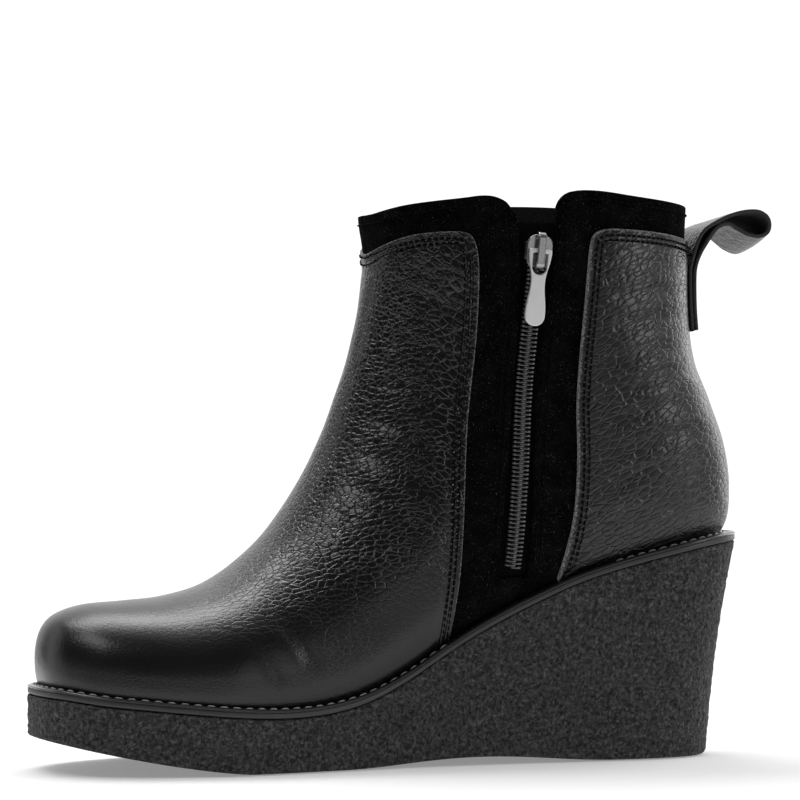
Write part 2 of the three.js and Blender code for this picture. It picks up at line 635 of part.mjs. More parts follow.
// Pull tab: a crossbar under the crown, two arms beside it, a window, a waist and a round end
const pivotOut = plateTop + (crownHeight - crownWall) / 2;
const [armDown, neckDown, waistDown, flareDown, bellyDown] =
  [0.2, 0.255, 0.42, 0.6, 0.65].map((share) => -share * pullLength);
function pullSolid() {
  const top = pullTopWidth / 2;
  const end = pullEndWidth / 2;
  const waist = pullWaist / 2;
  const outline = new THREE.Shape();
  const armEnd = pullThickness / 2;
  outline.moveTo(-top + armEnd, armEnd);
  outline.lineTo(top - armEnd, armEnd);
  outline.quadraticCurveTo(top, armEnd, top, 0);
  outline.bezierCurveTo(top, armDown, waist, neckDown, waist, waistDown);
  outline.bezierCurveTo(waist, flareDown, end, bellyDown, end, end - pullLength);
  outline.absarc(0, end - pullLength, end, 0, Math.PI, true);
  outline.bezierCurveTo(-end, bellyDown, -waist, flareDown, -waist, waistDown);
  outline.bezierCurveTo(-waist, neckDown, -top, armDown, -top, 0);
  outline.quadraticCurveTo(-top, armEnd, -top + armEnd, armEnd);
  const half = windowWidth / 2;
  const window = new THREE.Path();
  window.moveTo(-half, 2 * armEnd);
  window.lineTo(-half, -windowLength + half);
  window.absarc(0, -windowLength + half, half, Math.PI, 2 * Math.PI, false);
  window.lineTo(half, 2 * armEnd);
  const plate = solid(
    new THREE.ExtrudeGeometry(outline, {
      depth: pullThickness, bevelEnabled: false, curveSegments: 6,
    }).translate(0, 0, pivotOut - pullThickness / 2),
  );
  const cut = solid(
    new THREE.ExtrudeGeometry(new THREE.Shape(window.getPoints(8)), {
      depth: 4 * pullThickness, bevelEnabled: false,
    }).translate(0, 0, pivotOut - 2 * pullThickness),
  );
  const bar = new THREE.CylinderGeometry(barRadius, barRadius, pullTopWidth - 1, 12)
    .rotateZ(Math.PI / 2)
    .translate(0, 0, pivotOut);
  return plate.subtract(cut).add(solid(bar));
}

// The pull loop: a strap along its middle line.
// Its seam follows the boot's back, and its free end twists a little.
const strapSteps = 36;
const strapAcross = 4;
function strapSolid() {
  const foot = riseZ(strapFootRise);
  const face = gap + leatherWall + strapGap + strapThickness / 2;
  const backX = (y, z) => {
    const spot = findOnLast({ y, z }, backStart, face);
    return offsetPoint(spot.u, spot.v, face).x;
  };
  const sewnTop = foot + strapSewn * strapRise;
  const line = new THREE.CatmullRomCurve3(
    strapRows.map(([out, up]) => {
      const z = foot + up * strapRise;
      return new THREE.Vector3(backX(0, Math.min(z, sewnTop)) + out * strapReach, 0, z);
    }),
    false, "centripetal",
  );
  const footX = backX(0, foot);
  const rings = Array.from({ length: strapSteps + 1 }, (_, i) => {
    const p = line.getPointAt(i / strapSteps);
    const t = line.getTangentAt(i / strapSteps);
    const n = new THREE.Vector3(-t.z, 0, t.x).multiplyScalar(strapThickness / 2);
    const free = THREE.MathUtils.smoothstep(p.x - footX, 0.1 * strapReach, strapReach);
    const sewn = 1 - THREE.MathUtils.smoothstep((p.z - sewnTop) / strapRise, -0.1, 0.15);
    const seamZ = Math.min(p.z, sewnTop);
    const row = (side) =>
      Array.from({ length: strapAcross + 1 }, (_, k) => {
        const y = strapWidth * (k / strapAcross - 0.5);
        const bend = sewn * (backX(0, seamZ) - backX(y, seamZ));
        return new THREE.Vector3(p.x + side * n.x - bend, y, p.z + side * n.z - strapTwist * free * y);
      });
    return [...row(-1), ...row(1).reverse()];
  });
  const middle = (ring) => {
    const sum = ring.reduce((total, p) => total.add(p), new THREE.Vector3());
    return ring.map(() => sum.clone().divideScalar(ring.length));
  };
  return solid(loft([middle(rings[0]), ...rings, middle(rings[strapSteps])]));
}

// A named mesh from a solid.
function mesh(name, from, material) {
  const data = from.getMesh();
  const position = new Float32Array(data.numVert * 3);
  for (let i = 0; i < data.numVert; i++) {
    position.set(data.vertProperties.subarray(i * data.numProp, i * data.numProp + 3), i * 3);
  }
  const geometry = new THREE.BufferGeometry();
  geometry.setAttribute("position", new THREE.BufferAttribute(position, 3));
  geometry.setIndex(new THREE.BufferAttribute(data.triVerts, 1));
  geometry.computeVertexNormals();
  const made = new THREE.Mesh(geometry, material);
  made.name = name;
  return made;
}

const finish = (color, roughness, metalness) =>
  new THREE.MeshStandardMaterial({ color, roughness, metalness, flatShading: true });
const leather = finish(0x1c1c1d, 0.45, 0);
const suede = finish(0x0d0d0e, 0.95, 0);
const crepe = finish(0x2c2c2d, 0.9, 0);
const weltRubber = finish(0x1a1a1a, 0.4, 0);
const board = finish(0x202020, 0.8, 0);
const zipCloth = finish(0x0a0a0a, 0.85, 0);
const zipNylon = finish(0x101011, 0.35, 0);
const silver = finish(0xc4c4c6, 0.22, 1);

const zipHardware = new THREE.Group();
zipHardware.applyMatrix4(sliderFrame);
zipHardware.add(mesh("zip_slider", sliderSolid(), silver), mesh("zip_pull", pullSolid(), silver));

const boot = new THREE.Group();
boot.add(
  mesh("wedge_sole", wedge, crepe),
  mesh("welt", welt, weltRubber),
  mesh("insole", insole, board),
  mesh("upper", shell, suede),
  mesh("vamp", vampLeather, leather),
  mesh("quarter", quarterLeather, leather),
  mesh("zip_tape", tape, zipCloth),
  mesh("zip_coil", coil, zipNylon),
  zipHardware,
  mesh("pull_loop", strapSolid(), leather),
);

// The origin is at the middle of the boot's box, on the floor
const part = new THREE.Group();
part.add(boot);
const extent = new THREE.Box3().setFromObject(part);
const middle = extent.getCenter(new THREE.Vector3());
boot.position.set(-middle.x, -middle.y, -extent.min.z);

export default part;
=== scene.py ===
import json
import math

import bpy
import numpy as np
from mathutils import Matrix, Vector, noise

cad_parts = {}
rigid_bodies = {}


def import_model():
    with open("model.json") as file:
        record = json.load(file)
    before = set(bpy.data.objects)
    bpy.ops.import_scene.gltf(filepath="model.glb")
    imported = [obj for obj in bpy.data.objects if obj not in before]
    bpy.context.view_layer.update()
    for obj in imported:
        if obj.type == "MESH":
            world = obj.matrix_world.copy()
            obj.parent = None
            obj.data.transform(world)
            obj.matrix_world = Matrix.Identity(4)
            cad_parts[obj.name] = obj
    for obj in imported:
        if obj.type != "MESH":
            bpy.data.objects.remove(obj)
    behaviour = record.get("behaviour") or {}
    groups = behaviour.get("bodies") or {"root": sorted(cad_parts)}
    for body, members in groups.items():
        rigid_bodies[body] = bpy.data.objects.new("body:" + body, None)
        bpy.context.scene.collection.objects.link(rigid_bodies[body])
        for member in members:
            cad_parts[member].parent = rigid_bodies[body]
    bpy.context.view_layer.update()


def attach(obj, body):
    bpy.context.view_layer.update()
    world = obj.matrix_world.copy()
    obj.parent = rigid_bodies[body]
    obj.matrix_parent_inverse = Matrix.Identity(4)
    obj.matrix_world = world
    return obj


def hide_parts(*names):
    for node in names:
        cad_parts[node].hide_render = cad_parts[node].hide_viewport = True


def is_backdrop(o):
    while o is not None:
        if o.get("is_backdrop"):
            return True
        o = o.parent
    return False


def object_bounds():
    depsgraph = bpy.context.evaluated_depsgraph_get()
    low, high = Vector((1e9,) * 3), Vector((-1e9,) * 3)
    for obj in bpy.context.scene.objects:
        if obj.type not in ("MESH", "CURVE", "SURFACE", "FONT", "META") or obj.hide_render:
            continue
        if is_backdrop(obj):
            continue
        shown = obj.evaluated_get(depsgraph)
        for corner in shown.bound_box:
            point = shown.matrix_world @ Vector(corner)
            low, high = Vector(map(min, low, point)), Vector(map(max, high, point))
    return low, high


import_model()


# Camera: level with the middle of the boot, a little to the toe's side of square on to the inner side,
# and far enough away for the flat look of a product photograph.
camera_lens = bpy.data.cameras.new("camera")
camera_lens.sensor_width = 36
camera_lens.lens = 157.7
camera = bpy.data.objects.new("camera", camera_lens)
camera.location = (-0.3699, -1.1445, 0.100)
camera_aim = Vector((-0.0026, -0.0021, 0.1229))
camera.rotation_euler = (camera_aim - camera.location).to_track_quat("-Z", "Y").to_euler()
bpy.context.scene.collection.objects.link(camera)
bpy.context.scene.camera = camera


# Studio light: a room that is white behind and above the boot and dark in front of it, so that its inner
# side stays black while its edges catch the light. Soft boxes stand above, at both ends and in front.
def soft_box(name, place, aim, width, height, watts):
    lamp = bpy.data.lights.new(name, "AREA")
    lamp.shape = "RECTANGLE"
    lamp.size = width
    lamp.size_y = height
    lamp.energy = watts
    made = bpy.data.objects.new(name, lamp)
    made.location = place
    made.rotation_euler = (Vector(aim) - Vector(place)).to_track_quat("-Z", "Y").to_euler()
    bpy.context.scene.collection.objects.link(made)
    return made


soft_box("soft_box_top", (-0.15, 0.42, 1.05), (-0.04, 0, 0.08), 0.9, 0.40, 6.6)
soft_box("soft_box_toe", (-0.95, 0.65, 0.40), (0, 0, 0.09), 0.5, 0.9, 1.2)
soft_box("soft_box_heel", (0.95, 0.50, 0.45), (0, 0, 0.1), 0.5, 0.9, 2.4)
soft_box("soft_box_side", (1.05, -0.66, 0.32), (0.05, 0, 0.12), 0.28, 0.6, 2.8)
soft_box("soft_box_front", (0.48, -1.30, 0.20), (0.03, 0, 0.15), 0.35, 0.6, 0.5)
soft_box("soft_box_left", (-0.70, -0.30, 1.05), (-0.02, 0, 0.11), 0.7, 0.45, 3.2)

bright_side = (0.5, 0.65, 0.5)
room = bpy.data.worlds.new("room")
room.use_nodes = True
nodes = room.node_tree.nodes
links = room.node_tree.links
direction = nodes.new("ShaderNodeTexCoord")
backwards = nodes.new("ShaderNodeVectorMath")
backwards.operation = "DOT_PRODUCT"
backwards.inputs[1].default_value = bright_side
fade = nodes.new("ShaderNodeMapRange")
fade.interpolation_type = "SMOOTHSTEP"
for socket, value in (("From Min", 0.28), ("From Max", 0.74), ("To Min", 0.08), ("To Max", 1.1)):
    fade.inputs[socket].default_value = value
links.new(direction.outputs["Generated"], backwards.inputs[0])
links.new(backwards.outputs["Value"], fade.inputs["Value"])
links.new(fade.outputs["Result"], nodes["Background"].inputs["Strength"])
nodes["Background"].inputs["Color"].default_value = (1, 1, 1, 1)
bpy.context.scene.world = room
bpy.context.scene.view_settings.view_transform = "Standard"


# Shell: black suede on a stiffened lining, pulled over the last. It shows as the collar and beside the zip,
# is open at the top and at the zip's slot, and goes down inside the welt.
last_length = 0.2466
ball_width = 0.088
leg_width = 0.071
toe_box_height = 0.034
leg_height = 0.1125
seat_tuck = 0.007
platform = 0.0177
heel_height = 0.075
toe_rise = 0.0072
feather_lift = 0.0037
seat_dip = 0.001
shell_wall = 0.0018
last_middle = np.array([-0.004972, -0.000449, 0.0])
toe_x = last_middle[0] - last_length / 2
forefoot_seat = platform + feather_lift
heel_seat = heel_height + feather_lift - seat_dip

# topAlong, topRise, baseAlong, baseRise, lift, centre, medial, lateral, waist, baseRound, topRound
last_sections = [
    (0.0, 0.43, 0.0, 0.43, 0, -0.08, 0, 0, 0.5, 2.2, 2.2),
    (0.002, 0.6, 0.003, 0.27, 0, -0.08, 0.088, 0.085, 0.48, 2.3, 2.2),
    (0.01, 0.76, 0.011, 0.12, 0, -0.078, 0.168, 0.163, 0.45, 2.6, 2.2),
    (0.027, 0.86, 0.027, 0.05, 0, -0.072, 0.248, 0.238, 0.42, 3.0, 2.2),
    (0.062, 0.93, 0.057, 0.01, 0, -0.058, 0.336, 0.322, 0.4, 3.6, 2.2),
    (0.118, 0.96, 0.11, 0, 0, -0.036, 0.41, 0.4, 0.38, 4.0, 2.15),
    (0.175, 1.0, 0.167, 0, 0, -0.016, 0.458, 0.455, 0.37, 4.2, 2.1),
    (0.236, 1.12, 0.236, 0, 0, 0.002, 0.49, 0.49, 0.37, 4.2, 2.05),
    (0.284, 1.012, 0.313, 0, 0.08, 0.018, 0.488, 0.5, 0.38, 4.0, 2.0),
    (0.326, 0.87, 0.402, 0, 0.2, 0.036, 0.475, 0.5, 0.4, 3.7, 1.95),
    (0.36, 0.745, 0.499, 0, 0.35, 0.048, 0.458, 0.49, 0.42, 3.4, 1.92),
    (0.389, 0.645, 0.613, 0, 0.52, 0.05, 0.452, 0.476, 0.44, 3.2, 1.92),
    (0.413, 0.578, 0.734, 0, 0.7, 0.042, 0.455, 0.47, 0.46, 3.0, 1.95),
    (0.43, 0.55, 0.856, 0, 0.85, 0.03, 0.46, 0.467, 0.48, 2.7, 2.0),
    (0.443, 0.561, 0.939, 0.01, 0.94, 0.019, 0.462, 0.465, 0.49, 2.4, 2.05),
    (0.452, 0.588, 0.985, 0.076, 1, 0.012, 0.464, 0.466, 0.5, 2.25, 2.1),
    (0.459, 0.66, 0.993, 0.192, 1, 0.007, 0.468, 0.468, 0.5, 2.2, 2.1),
    (0.464, 0.733, 0.984, 0.325, 1, 0.004, 0.474, 0.474, 0.5, 2.2, 2.15),
    (0.467, 0.804, 0.961, 0.464, 1, 0.002, 0.482, 0.482, 0.5, 2.2, 2.2),
    (0.464, 0.876, 0.935, 0.617, 1, 0, 0.49, 0.49, 0.5, 2.2, 2.2),
    (0.459, 0.956, 0.926, 0.841, 1, 0, 0.495, 0.495, 0.5, 2.25, 2.25),
    (0.457, 1.071, 0.932, 1.152, 1, 0, 0.495, 0.495, 0.5, 2.25, 2.25),
]
# along, spring, climb
wedge_edge = [
    (-0.03, 1.05, 0), (0.013, 0.9, 0), (0.057, 0.67, 0), (0.122, 0.44, 0), (0.175, 0.26, 0),
    (0.244, 0.06, 0), (0.313, 0, 0), (0.373, 0, 0.023), (0.426, 0, 0.08), (0.487, 0, 0.2),
    (0.532, 0, 0.316), (0.58, 0, 0.436), (0.633, 0, 0.551), (0.69, 0, 0.66), (0.742, 0, 0.75),
    (0.815, 0, 0.84), (0.88, 0, 0.905), (0.949, 0, 0.963), (1.03, 0, 1),
]


def curve_through(places, rows):
    """A smooth curve through rows of numbers, with each row's slope the mean of its neighbours'."""
    places, rows = np.asarray(places, float), np.asarray(rows, float)
    steps = np.diff(rows, axis=0) / np.diff(places)[:, None]
    slopes = np.concatenate([steps[:1], (steps[:-1] + steps[1:]) / 2, steps[-1:]])

    def at(place):
        place = np.clip(np.asarray(place, float), places[0], places[-1])
        i = np.clip(np.searchsorted(places, place, side="right") - 1, 0, len(places) - 2)
        span = (places[i + 1] - places[i])[..., None]
        s = (place - places[i])[..., None] / span
        return (
            (1 + 2 * s) * (1 - s) ** 2 * rows[i]
            + s * (1 - s) ** 2 * span * slopes[i]
            + s**2 * (3 - 2 * s) * rows[i + 1]
            + s**2 * (s - 1) * span * slopes[i + 1]
        )

    return at


last_row = curve_through(range(len(last_sections)), last_sections)
last_end = len(last_sections) - 1
wedge_row = curve_through([row[0] for row in wedge_edge], wedge_edge)


def along_x(share):
    return toe_x + np.asarray(share, float) * last_length


def rise_z(share):
    return heel_seat + np.asarray(share, float) * leg_height


def wedge_top(x):
    row = wedge_row((x - toe_x) / last_length)
    return platform + toe_rise * row[..., 1] + (heel_height - platform) * row[..., 2]


def feather_z(x):
    """Height of the edge where the upper meets the welt."""
    return wedge_top(x) + feather_lift


def last_points(u, v):
    """The last's surface: u runs over the sections, v once round each from the base up the outer side."""
    row = np.moveaxis(last_row(u), -1, 0)
    top_along, top_rise, base_along, base_rise, lift, centre, medial, lateral, waist = row[:9]
    height = toe_box_height + lift * (leg_height - toe_box_height)
    width = ball_width + lift * (leg_width - ball_width)
    seat = forefoot_seat + lift * (heel_seat - forefoot_seat)
    top_x, top_z = along_x(top_along), seat + top_rise * height
    base_x = along_x(base_along)
    base_z = feather_z(base_x) - seat_tuck + base_rise * height
    angle = 2 * np.pi * v - np.pi / 2
    across, up = np.cos(angle), np.sin(angle)
    squareness = np.where(up < 0, row[9], row[10])
    reach = (np.abs(across) ** squareness + np.abs(up) ** squareness) ** (-1 / squareness)
    half = np.where(across < 0, medial, lateral)
    share = waist + up * reach * np.where(up < 0, waist, 1 - waist)
    x = base_x + (top_x - base_x) * share
    y = centre * ball_width + across * reach * half * width + last_middle[1]
    return np.stack([x, y, base_z + (top_z - base_z) * share], -1)


def last_normals(u, v):
    u_step, v_step = 0.01, 0.003
    u = np.clip(u, 0.06, last_end - u_step)
    along = last_points(u + u_step, v) - last_points(u - u_step, v)
    around = last_points(u, v + v_step) - last_points(u, v - v_step)
    found = np.cross(around, along)
    return found / np.linalg.norm(found, axis=-1, keepdims=True)


def on_boot(u, v, lift):
    """Points at lift over the shell's outside, and the directions out of it there."""
    out = last_normals(u, v)
    return last_points(u, v) + out * np.asarray(lift)[..., None], out


def even_rows(cell):
    """Section places about one cell apart at their widest spacing."""
    fine_step = 0.02
    fine = np.arange(fine_step, last_end + fine_step / 20, fine_step)
    round_v = np.linspace(0, 1, 40)
    grid = last_points(*np.meshgrid(fine, round_v, indexing="ij"))
    steps = np.linalg.norm(np.diff(grid, axis=0), axis=-1).max(1)
    length = np.concatenate([[0], np.cumsum(steps)])
    return np.interp(np.linspace(0, length[-1], int(length[-1] / cell)), length, fine)


def rounded(line, times=3):
    """A line of points with its corners cut off again and again."""
    line = np.asarray(line, float)
    for _ in range(times):
        a, b = line[:-1], line[1:]
        cut = np.stack([0.75 * a + 0.25 * b, 0.25 * a + 0.75 * b], 1).reshape(-1, 2)
        line = np.concatenate([line[:1], cut, line[-1:]])
    return line


def side_line(edge):
    """An edge given as shares along and up the boot, in metres as seen from the side."""
    edge = np.asarray(edge, float)
    return rounded(np.stack([along_x(edge[:, 0]), rise_z(edge[:, 1])], -1))


def inside_line(x, z, outline):
    """Distance from a closed outline as seen from the side, positive inside it."""
    nothing = 1e-14
    nearest = np.full(x.shape, np.inf)
    odd = np.zeros(x.shape, bool)
    for (x0, z0), (x1, z1) in zip(outline, np.roll(outline, -1, axis=0)):
        dx, dz = x1 - x0, z1 - z0
        length = dx * dx + dz * dz
        if length < nothing:
            continue
        t = np.clip(((x - x0) * dx + (z - z0) * dz) / length, 0, 1)
        nearest = np.minimum(nearest, (x - x0 - t * dx) ** 2 + (z - z0 - t * dz) ** 2)
        if z0 != z1:
            odd ^= ((z0 > z) != (z1 > z)) & (x < dx * (z - z0) / dz + x0)
    return np.where(odd, 1, -1) * np.sqrt(nearest)


usual_girth = 0.25


def cut_sheet(cell, lift, room_inside):
    """The last's surface at lift, where room_inside(points) is positive, cut along its zero line.
    Returns places (u, v), faces, and the cut's edges with the sheet on their left."""
    us = even_rows(cell)
    columns = int(usual_girth / cell)
    vs = np.arange(columns) / columns
    grid_u, grid_v = np.meshgrid(us, vs, indexing="ij")
    field = lambda u, v: room_inside(on_boot(u, v, np.full(u.shape, lift))[0])
    values = field(grid_u.ravel(), grid_v.ravel()).reshape(grid_u.shape)
    inside = values > 0
    number = np.where(inside, np.cumsum(inside).reshape(inside.shape) - 1, -1)
    places = [np.stack([grid_u[inside], grid_v[inside]], -1)]
    count = int(inside.sum())
    crossings = []
    for du, dv in ((1, 0), (0, 1)):
        if du:
            a_in, b_in = inside[:-1], inside[1:]
            a_u, b_u, a_v, b_v = grid_u[:-1], grid_u[1:], grid_v[:-1], grid_v[1:]
            fa, fb = values[:-1], values[1:]
        else:
            a_in, b_in = inside, np.roll(inside, -1, axis=1)
            a_u, b_u, a_v, b_v = grid_u, grid_u, grid_v, grid_v + 1 / columns
            fa, fb = values, np.roll(values, -1, axis=1)
        cut = a_in != b_in
        ua, ub, va, vb = a_u[cut], b_u[cut], a_v[cut], b_v[cut]
        low, high = np.zeros(len(ua)), np.ones(len(ua))
        f_low, f_high = fa[cut].copy(), fb[cut].copy()
        for _ in range(6):
            t = low + (high - low) * np.clip(f_low / (f_low - f_high), 0.03, 0.97)
            f = field(ua + t * (ub - ua), va + t * (vb - va))
            same = (f > 0) == (f_low > 0)
            low, f_low = np.where(same, t, low), np.where(same, f, f_low)
            high, f_high = np.where(same, high, t), np.where(same, f_high, f)
        t = np.clip(low + (high - low) * f_low / (f_low - f_high), 0.004, 0.996)
        found = np.full(cut.shape, -1)
        found[cut] = count + np.arange(len(t))
        count += len(t)
        crossings.append(found)
        places.append(np.stack([ua + t * (ub - ua), va + t * (vb - va)], -1))
    along_cut, round_cut = crossings
    right = lambda a: np.roll(a, -1, axis=1)
    corner_ids = [number[:-1], right(number)[:-1], right(number)[1:], number[1:]]
    corner_in = [c >= 0 for c in corner_ids]
    side_ids = [round_cut[:-1], right(along_cut), round_cut[1:], along_cut]
    whole = np.logical_and.reduce(corner_in)
    faces = np.stack([c[whole] for c in corner_ids], -1).tolist()
    edges = []
    mixed = np.argwhere(np.logical_or.reduce(corner_in) & ~whole)
    for i, j in mixed:
        polygon, cut_at = [], []
        for k in range(4):
            if corner_in[k][i, j]:
                polygon.append(int(corner_ids[k][i, j]))
            if side_ids[k][i, j] >= 0:
                polygon.append(int(side_ids[k][i, j]))
                cut_at.append((len(polygon) - 1, bool(corner_in[k][i, j])))
        if len(polygon) < 3:
            continue
        faces.append(polygon)
        for at, leaves in cut_at:
            if leaves:
                edges.append((polygon[at], polygon[(at + 1) % len(polygon)]))
    places = np.concatenate(places)
    if inside[0].all():
        ring = number[0]
        pole = len(places)
        places = np.concatenate([places, [[0.0, 0.0]]])
        faces += [[pole, int(b), int(a)] for a, b in zip(ring, np.roll(ring, -1))]
    return places, faces, np.array(edges, int)


def hem(points, out, faces, edges, profile):
    """Carries a sheet over its cut edges along a profile of (outward, down) steps.
    Returns the points with the new ones added, the faces, and how far along the profile each point is."""
    p, q = edges[:, 0], edges[:, 1]
    run = np.zeros_like(points)
    for ends in (p, q):
        np.add.at(run, ends, points[q] - points[p])
    rim = np.unique(edges)
    away = np.cross(run[rim], out[rim])
    away /= np.maximum(np.linalg.norm(away, axis=-1, keepdims=True), 1e-12)
    slot_of = np.full(len(points), -1)
    slot_of[rim] = np.arange(len(rim))
    levels = [rim] + [len(points) + k * len(rim) + np.arange(len(rim)) for k in range(len(profile))]
    added = [points[rim] + away * o - out[rim] * d for o, d in profile]
    for a, b in zip(levels[:-1], levels[1:]):
        faces += np.stack([a[slot_of[q]], a[slot_of[p]], b[slot_of[p]], b[slot_of[q]]], -1).tolist()
    steps = [np.full(len(rim), k + 1.0) for k in range(len(profile))]
    return np.concatenate([points, *added]), faces, np.concatenate([np.zeros(len(points)), *steps])


def make_piece(name, points, faces, finishes, body="boot", smooth=True, face_finish=None, **fields):
    """A mesh piece from points and faces, with its finishes, riding on a CAD body."""
    made = bpy.data.meshes.new(name)
    made.from_pydata(np.asarray(points, float).tolist(), [], [list(f) for f in faces])
    made.polygons.foreach_set("use_smooth", [smooth] * len(made.polygons))
    for finish in finishes:
        made.materials.append(finish)
    if face_finish is not None:
        made.polygons.foreach_set("material_index", face_finish)
    for field, values in fields.items():
        column = made.attributes.new(field, "FLOAT", "POINT")
        column.data.foreach_set("value", np.asarray(values, np.float32))
    made.update()
    piece = bpy.data.objects.new(name, made)
    bpy.context.scene.collection.objects.link(piece)
    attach(piece, body)
    return piece


class Shade:
    """A socket in a finish's node tree. Sums and products of sockets add their Math nodes."""

    def __init__(self, tree, socket=None):
        self.tree, self.socket = tree, socket

    def node(self, kind, settings=None, inputs=None, output=0):
        """Adds a node: its settings first, then the values or links of its sockets."""
        made = self.tree.nodes.new("ShaderNode" + kind)
        for name, value in (settings or {}).items():
            setattr(made, name, value)
        for name, value in (inputs or {}).items():
            if isinstance(value, Shade):
                self.tree.links.new(value.socket, made.inputs[name])
            else:
                made.inputs[name].default_value = value
        return Shade(self.tree, made.outputs[output])

    def math(self, operation, *values):
        return self.node("Math", {"operation": operation}, dict(enumerate(values)))

    def __add__(self, other):
        return self.math("ADD", self, other)

    def __radd__(self, other):
        return self.math("ADD", other, self)

    def __sub__(self, other):
        return self.math("SUBTRACT", self, other)

    def __rsub__(self, other):
        return self.math("SUBTRACT", other, self)

    def __mul__(self, other):
        return self.math("MULTIPLY", self, other)

    def __rmul__(self, other):
        return self.math("MULTIPLY", other, self)

    def __abs__(self):
        return self.math("ABSOLUTE", self)

    def ramp(self, low, high):
        """0 below low and 1 above high, smooth between them."""
        settings = {"interpolation_type": "SMOOTHSTEP"}
        return self.node("MapRange", settings, {"Value": self, "From Min": low, "From Max": high})

    def place(self):
        """Where the surface is, in the boot's own frame."""
        return self.node("TexCoord", output="Object")

    def axis(self, name):
        return self.node("SeparateXYZ", inputs={"Vector": self}, output=name)

    def laid(self, turn, size):
        """A place measured in cells of a size, turned by an angle about each axis in degrees."""
        angles = [math.radians(a) for a in turn]
        settings = {"vector_type": "TEXTURE"}
        return self.node("Mapping", settings, {"Vector": self, "Rotation": angles, "Scale": size})

    def moved(self, by, amount):
        """A place pushed about by a colour."""
        centred = self.node("VectorMath", {"operation": "SUBTRACT"}, {0: by, 1: (0.5, 0.5, 0.5)})
        push = self.node("VectorMath", {"operation": "SCALE"}, {0: centred, "Scale": amount})
        return self.node("VectorMath", {"operation": "ADD"}, {0: self, 1: push})

    def cloud(self, scale, detail=2.0, output=0):
        return self.node("TexNoise", None, {"Vector": self, "Scale": scale, "Detail": detail}, output)

    def cells(self, scale, feature="DISTANCE_TO_EDGE"):
        return self.node("TexVoronoi", {"feature": feature}, {"Vector": self, "Scale": scale})

    def blend(self, low, high):
        """A colour between low and high by this share."""
        return self.node("Mix", {"data_type": "RGBA"}, {0: self, 6: (*low, 1), 7: (*high, 1)}, output=2)

    def greys(self, low, high):
        """A grey between low and high by this share."""
        return self.blend((low, low, low), (high, high, high))

    def relief(self, depth):
        """A bump whose full height is depth, in metres."""
        return self.node("Bump", None, {"Height": self, "Distance": depth, "Strength": 1.0})


def new_finish(name, **constants):
    """An empty finish: its material, a Shade to start from, and its shader node."""
    made = bpy.data.materials.new(name)
    made.use_nodes = True
    shader = made.node_tree.nodes["Principled BSDF"]
    for socket, value in constants.items():
        shader.inputs[socket.replace("_", " ")].default_value = value
    return made, Shade(made.node_tree), shader


def feed(shader, **links):
    for socket, value in links.items():
        value.tree.links.new(value.socket, shader.inputs[socket.replace("_", " ")])


collar_medial = [
    (0.3, 0.955), (0.459, 0.957), (0.471, 0.972), (0.491, 0.984), (0.526, 0.994), (0.565, 1.003),
    (0.584, 1.01), (0.601, 1.009), (0.615, 0.998), (0.624, 0.982), (0.63, 0.95),
    (0.689, 0.95), (0.692, 0.985), (0.7, 1.012), (0.713, 1.028), (0.735, 1.033),
    (0.765, 1.031), (0.811, 1.02), (0.865, 1.012), (0.947, 1.0), (1.1, 1.0),
]
collar_lateral = [
    (0.3, 0.955), (0.459, 0.957), (0.491, 0.982), (0.565, 1.003), (0.65, 1.018),
    (0.76, 1.026), (0.865, 1.012), (0.947, 1.0), (1.1, 1.0),
]
# rise, front, middle, back
slot_sides = [
    (-0.135, 0.614, 0.636, 0.659), (-0.084, 0.615, 0.638, 0.66), (0.018, 0.618, 0.641, 0.662),
    (0.164, 0.624, 0.645, 0.664), (0.316, 0.63, 0.648, 0.666), (0.467, 0.635, 0.651, 0.669),
    (0.582, 0.638, 0.655, 0.673), (0.724, 0.641, 0.66, 0.681), (0.864, 0.637, 0.666, 0.69),
    (1.1, 0.629, 0.676, 0.692),
]
slot_row = curve_through([row[0] for row in slot_sides], slot_sides)
slot_foot = -0.135
slot_top = 1.12
far = 0.6


def closed_below(line):
    """The outline of all that lies under a line."""
    return np.concatenate([line, [[far, -far], [-far, -far]]])


def slot_outline(margin, low, high):
    """The slot's outline from one rise to another, with a margin before and behind it."""
    rises = np.linspace(low, high, 40)
    rows = slot_row(rises)
    front = np.stack([along_x(rows[:, 1]) - margin, rise_z(rises)], -1)
    back = np.stack([along_x(rows[:, 3]) + margin, rise_z(rises)], -1)
    return np.concatenate([front, back[::-1]])


under_collar = closed_below(side_line(collar_medial)), closed_below(side_line(collar_lateral))
slot_hole = slot_outline(0, slot_foot, slot_top)


def is_medial(points):
    return points[:, 1] < last_middle[1]


def seen_inside(outline, points):
    return inside_line(points[:, 0], points[:, 2], outline)


def room_in(outlines, points):
    """Distance inside an outline of the medial side and one of the lateral side."""
    return np.where(is_medial(points), *[seen_inside(outline, points) for outline in outlines])


def room_on_shell(points):
    """How far a place is inside the shell's edges: under the collar and off the slot."""
    off_slot = np.where(is_medial(points), -seen_inside(slot_hole, points), 1.0)
    return np.minimum(room_in(under_collar, points), off_slot)


def over_welt(points, dip=0.0009):
    """How far a place is over the feather edge, less a dip that the welt hides."""
    return points[:, 2] - feather_z(points[:, 0]) + dip


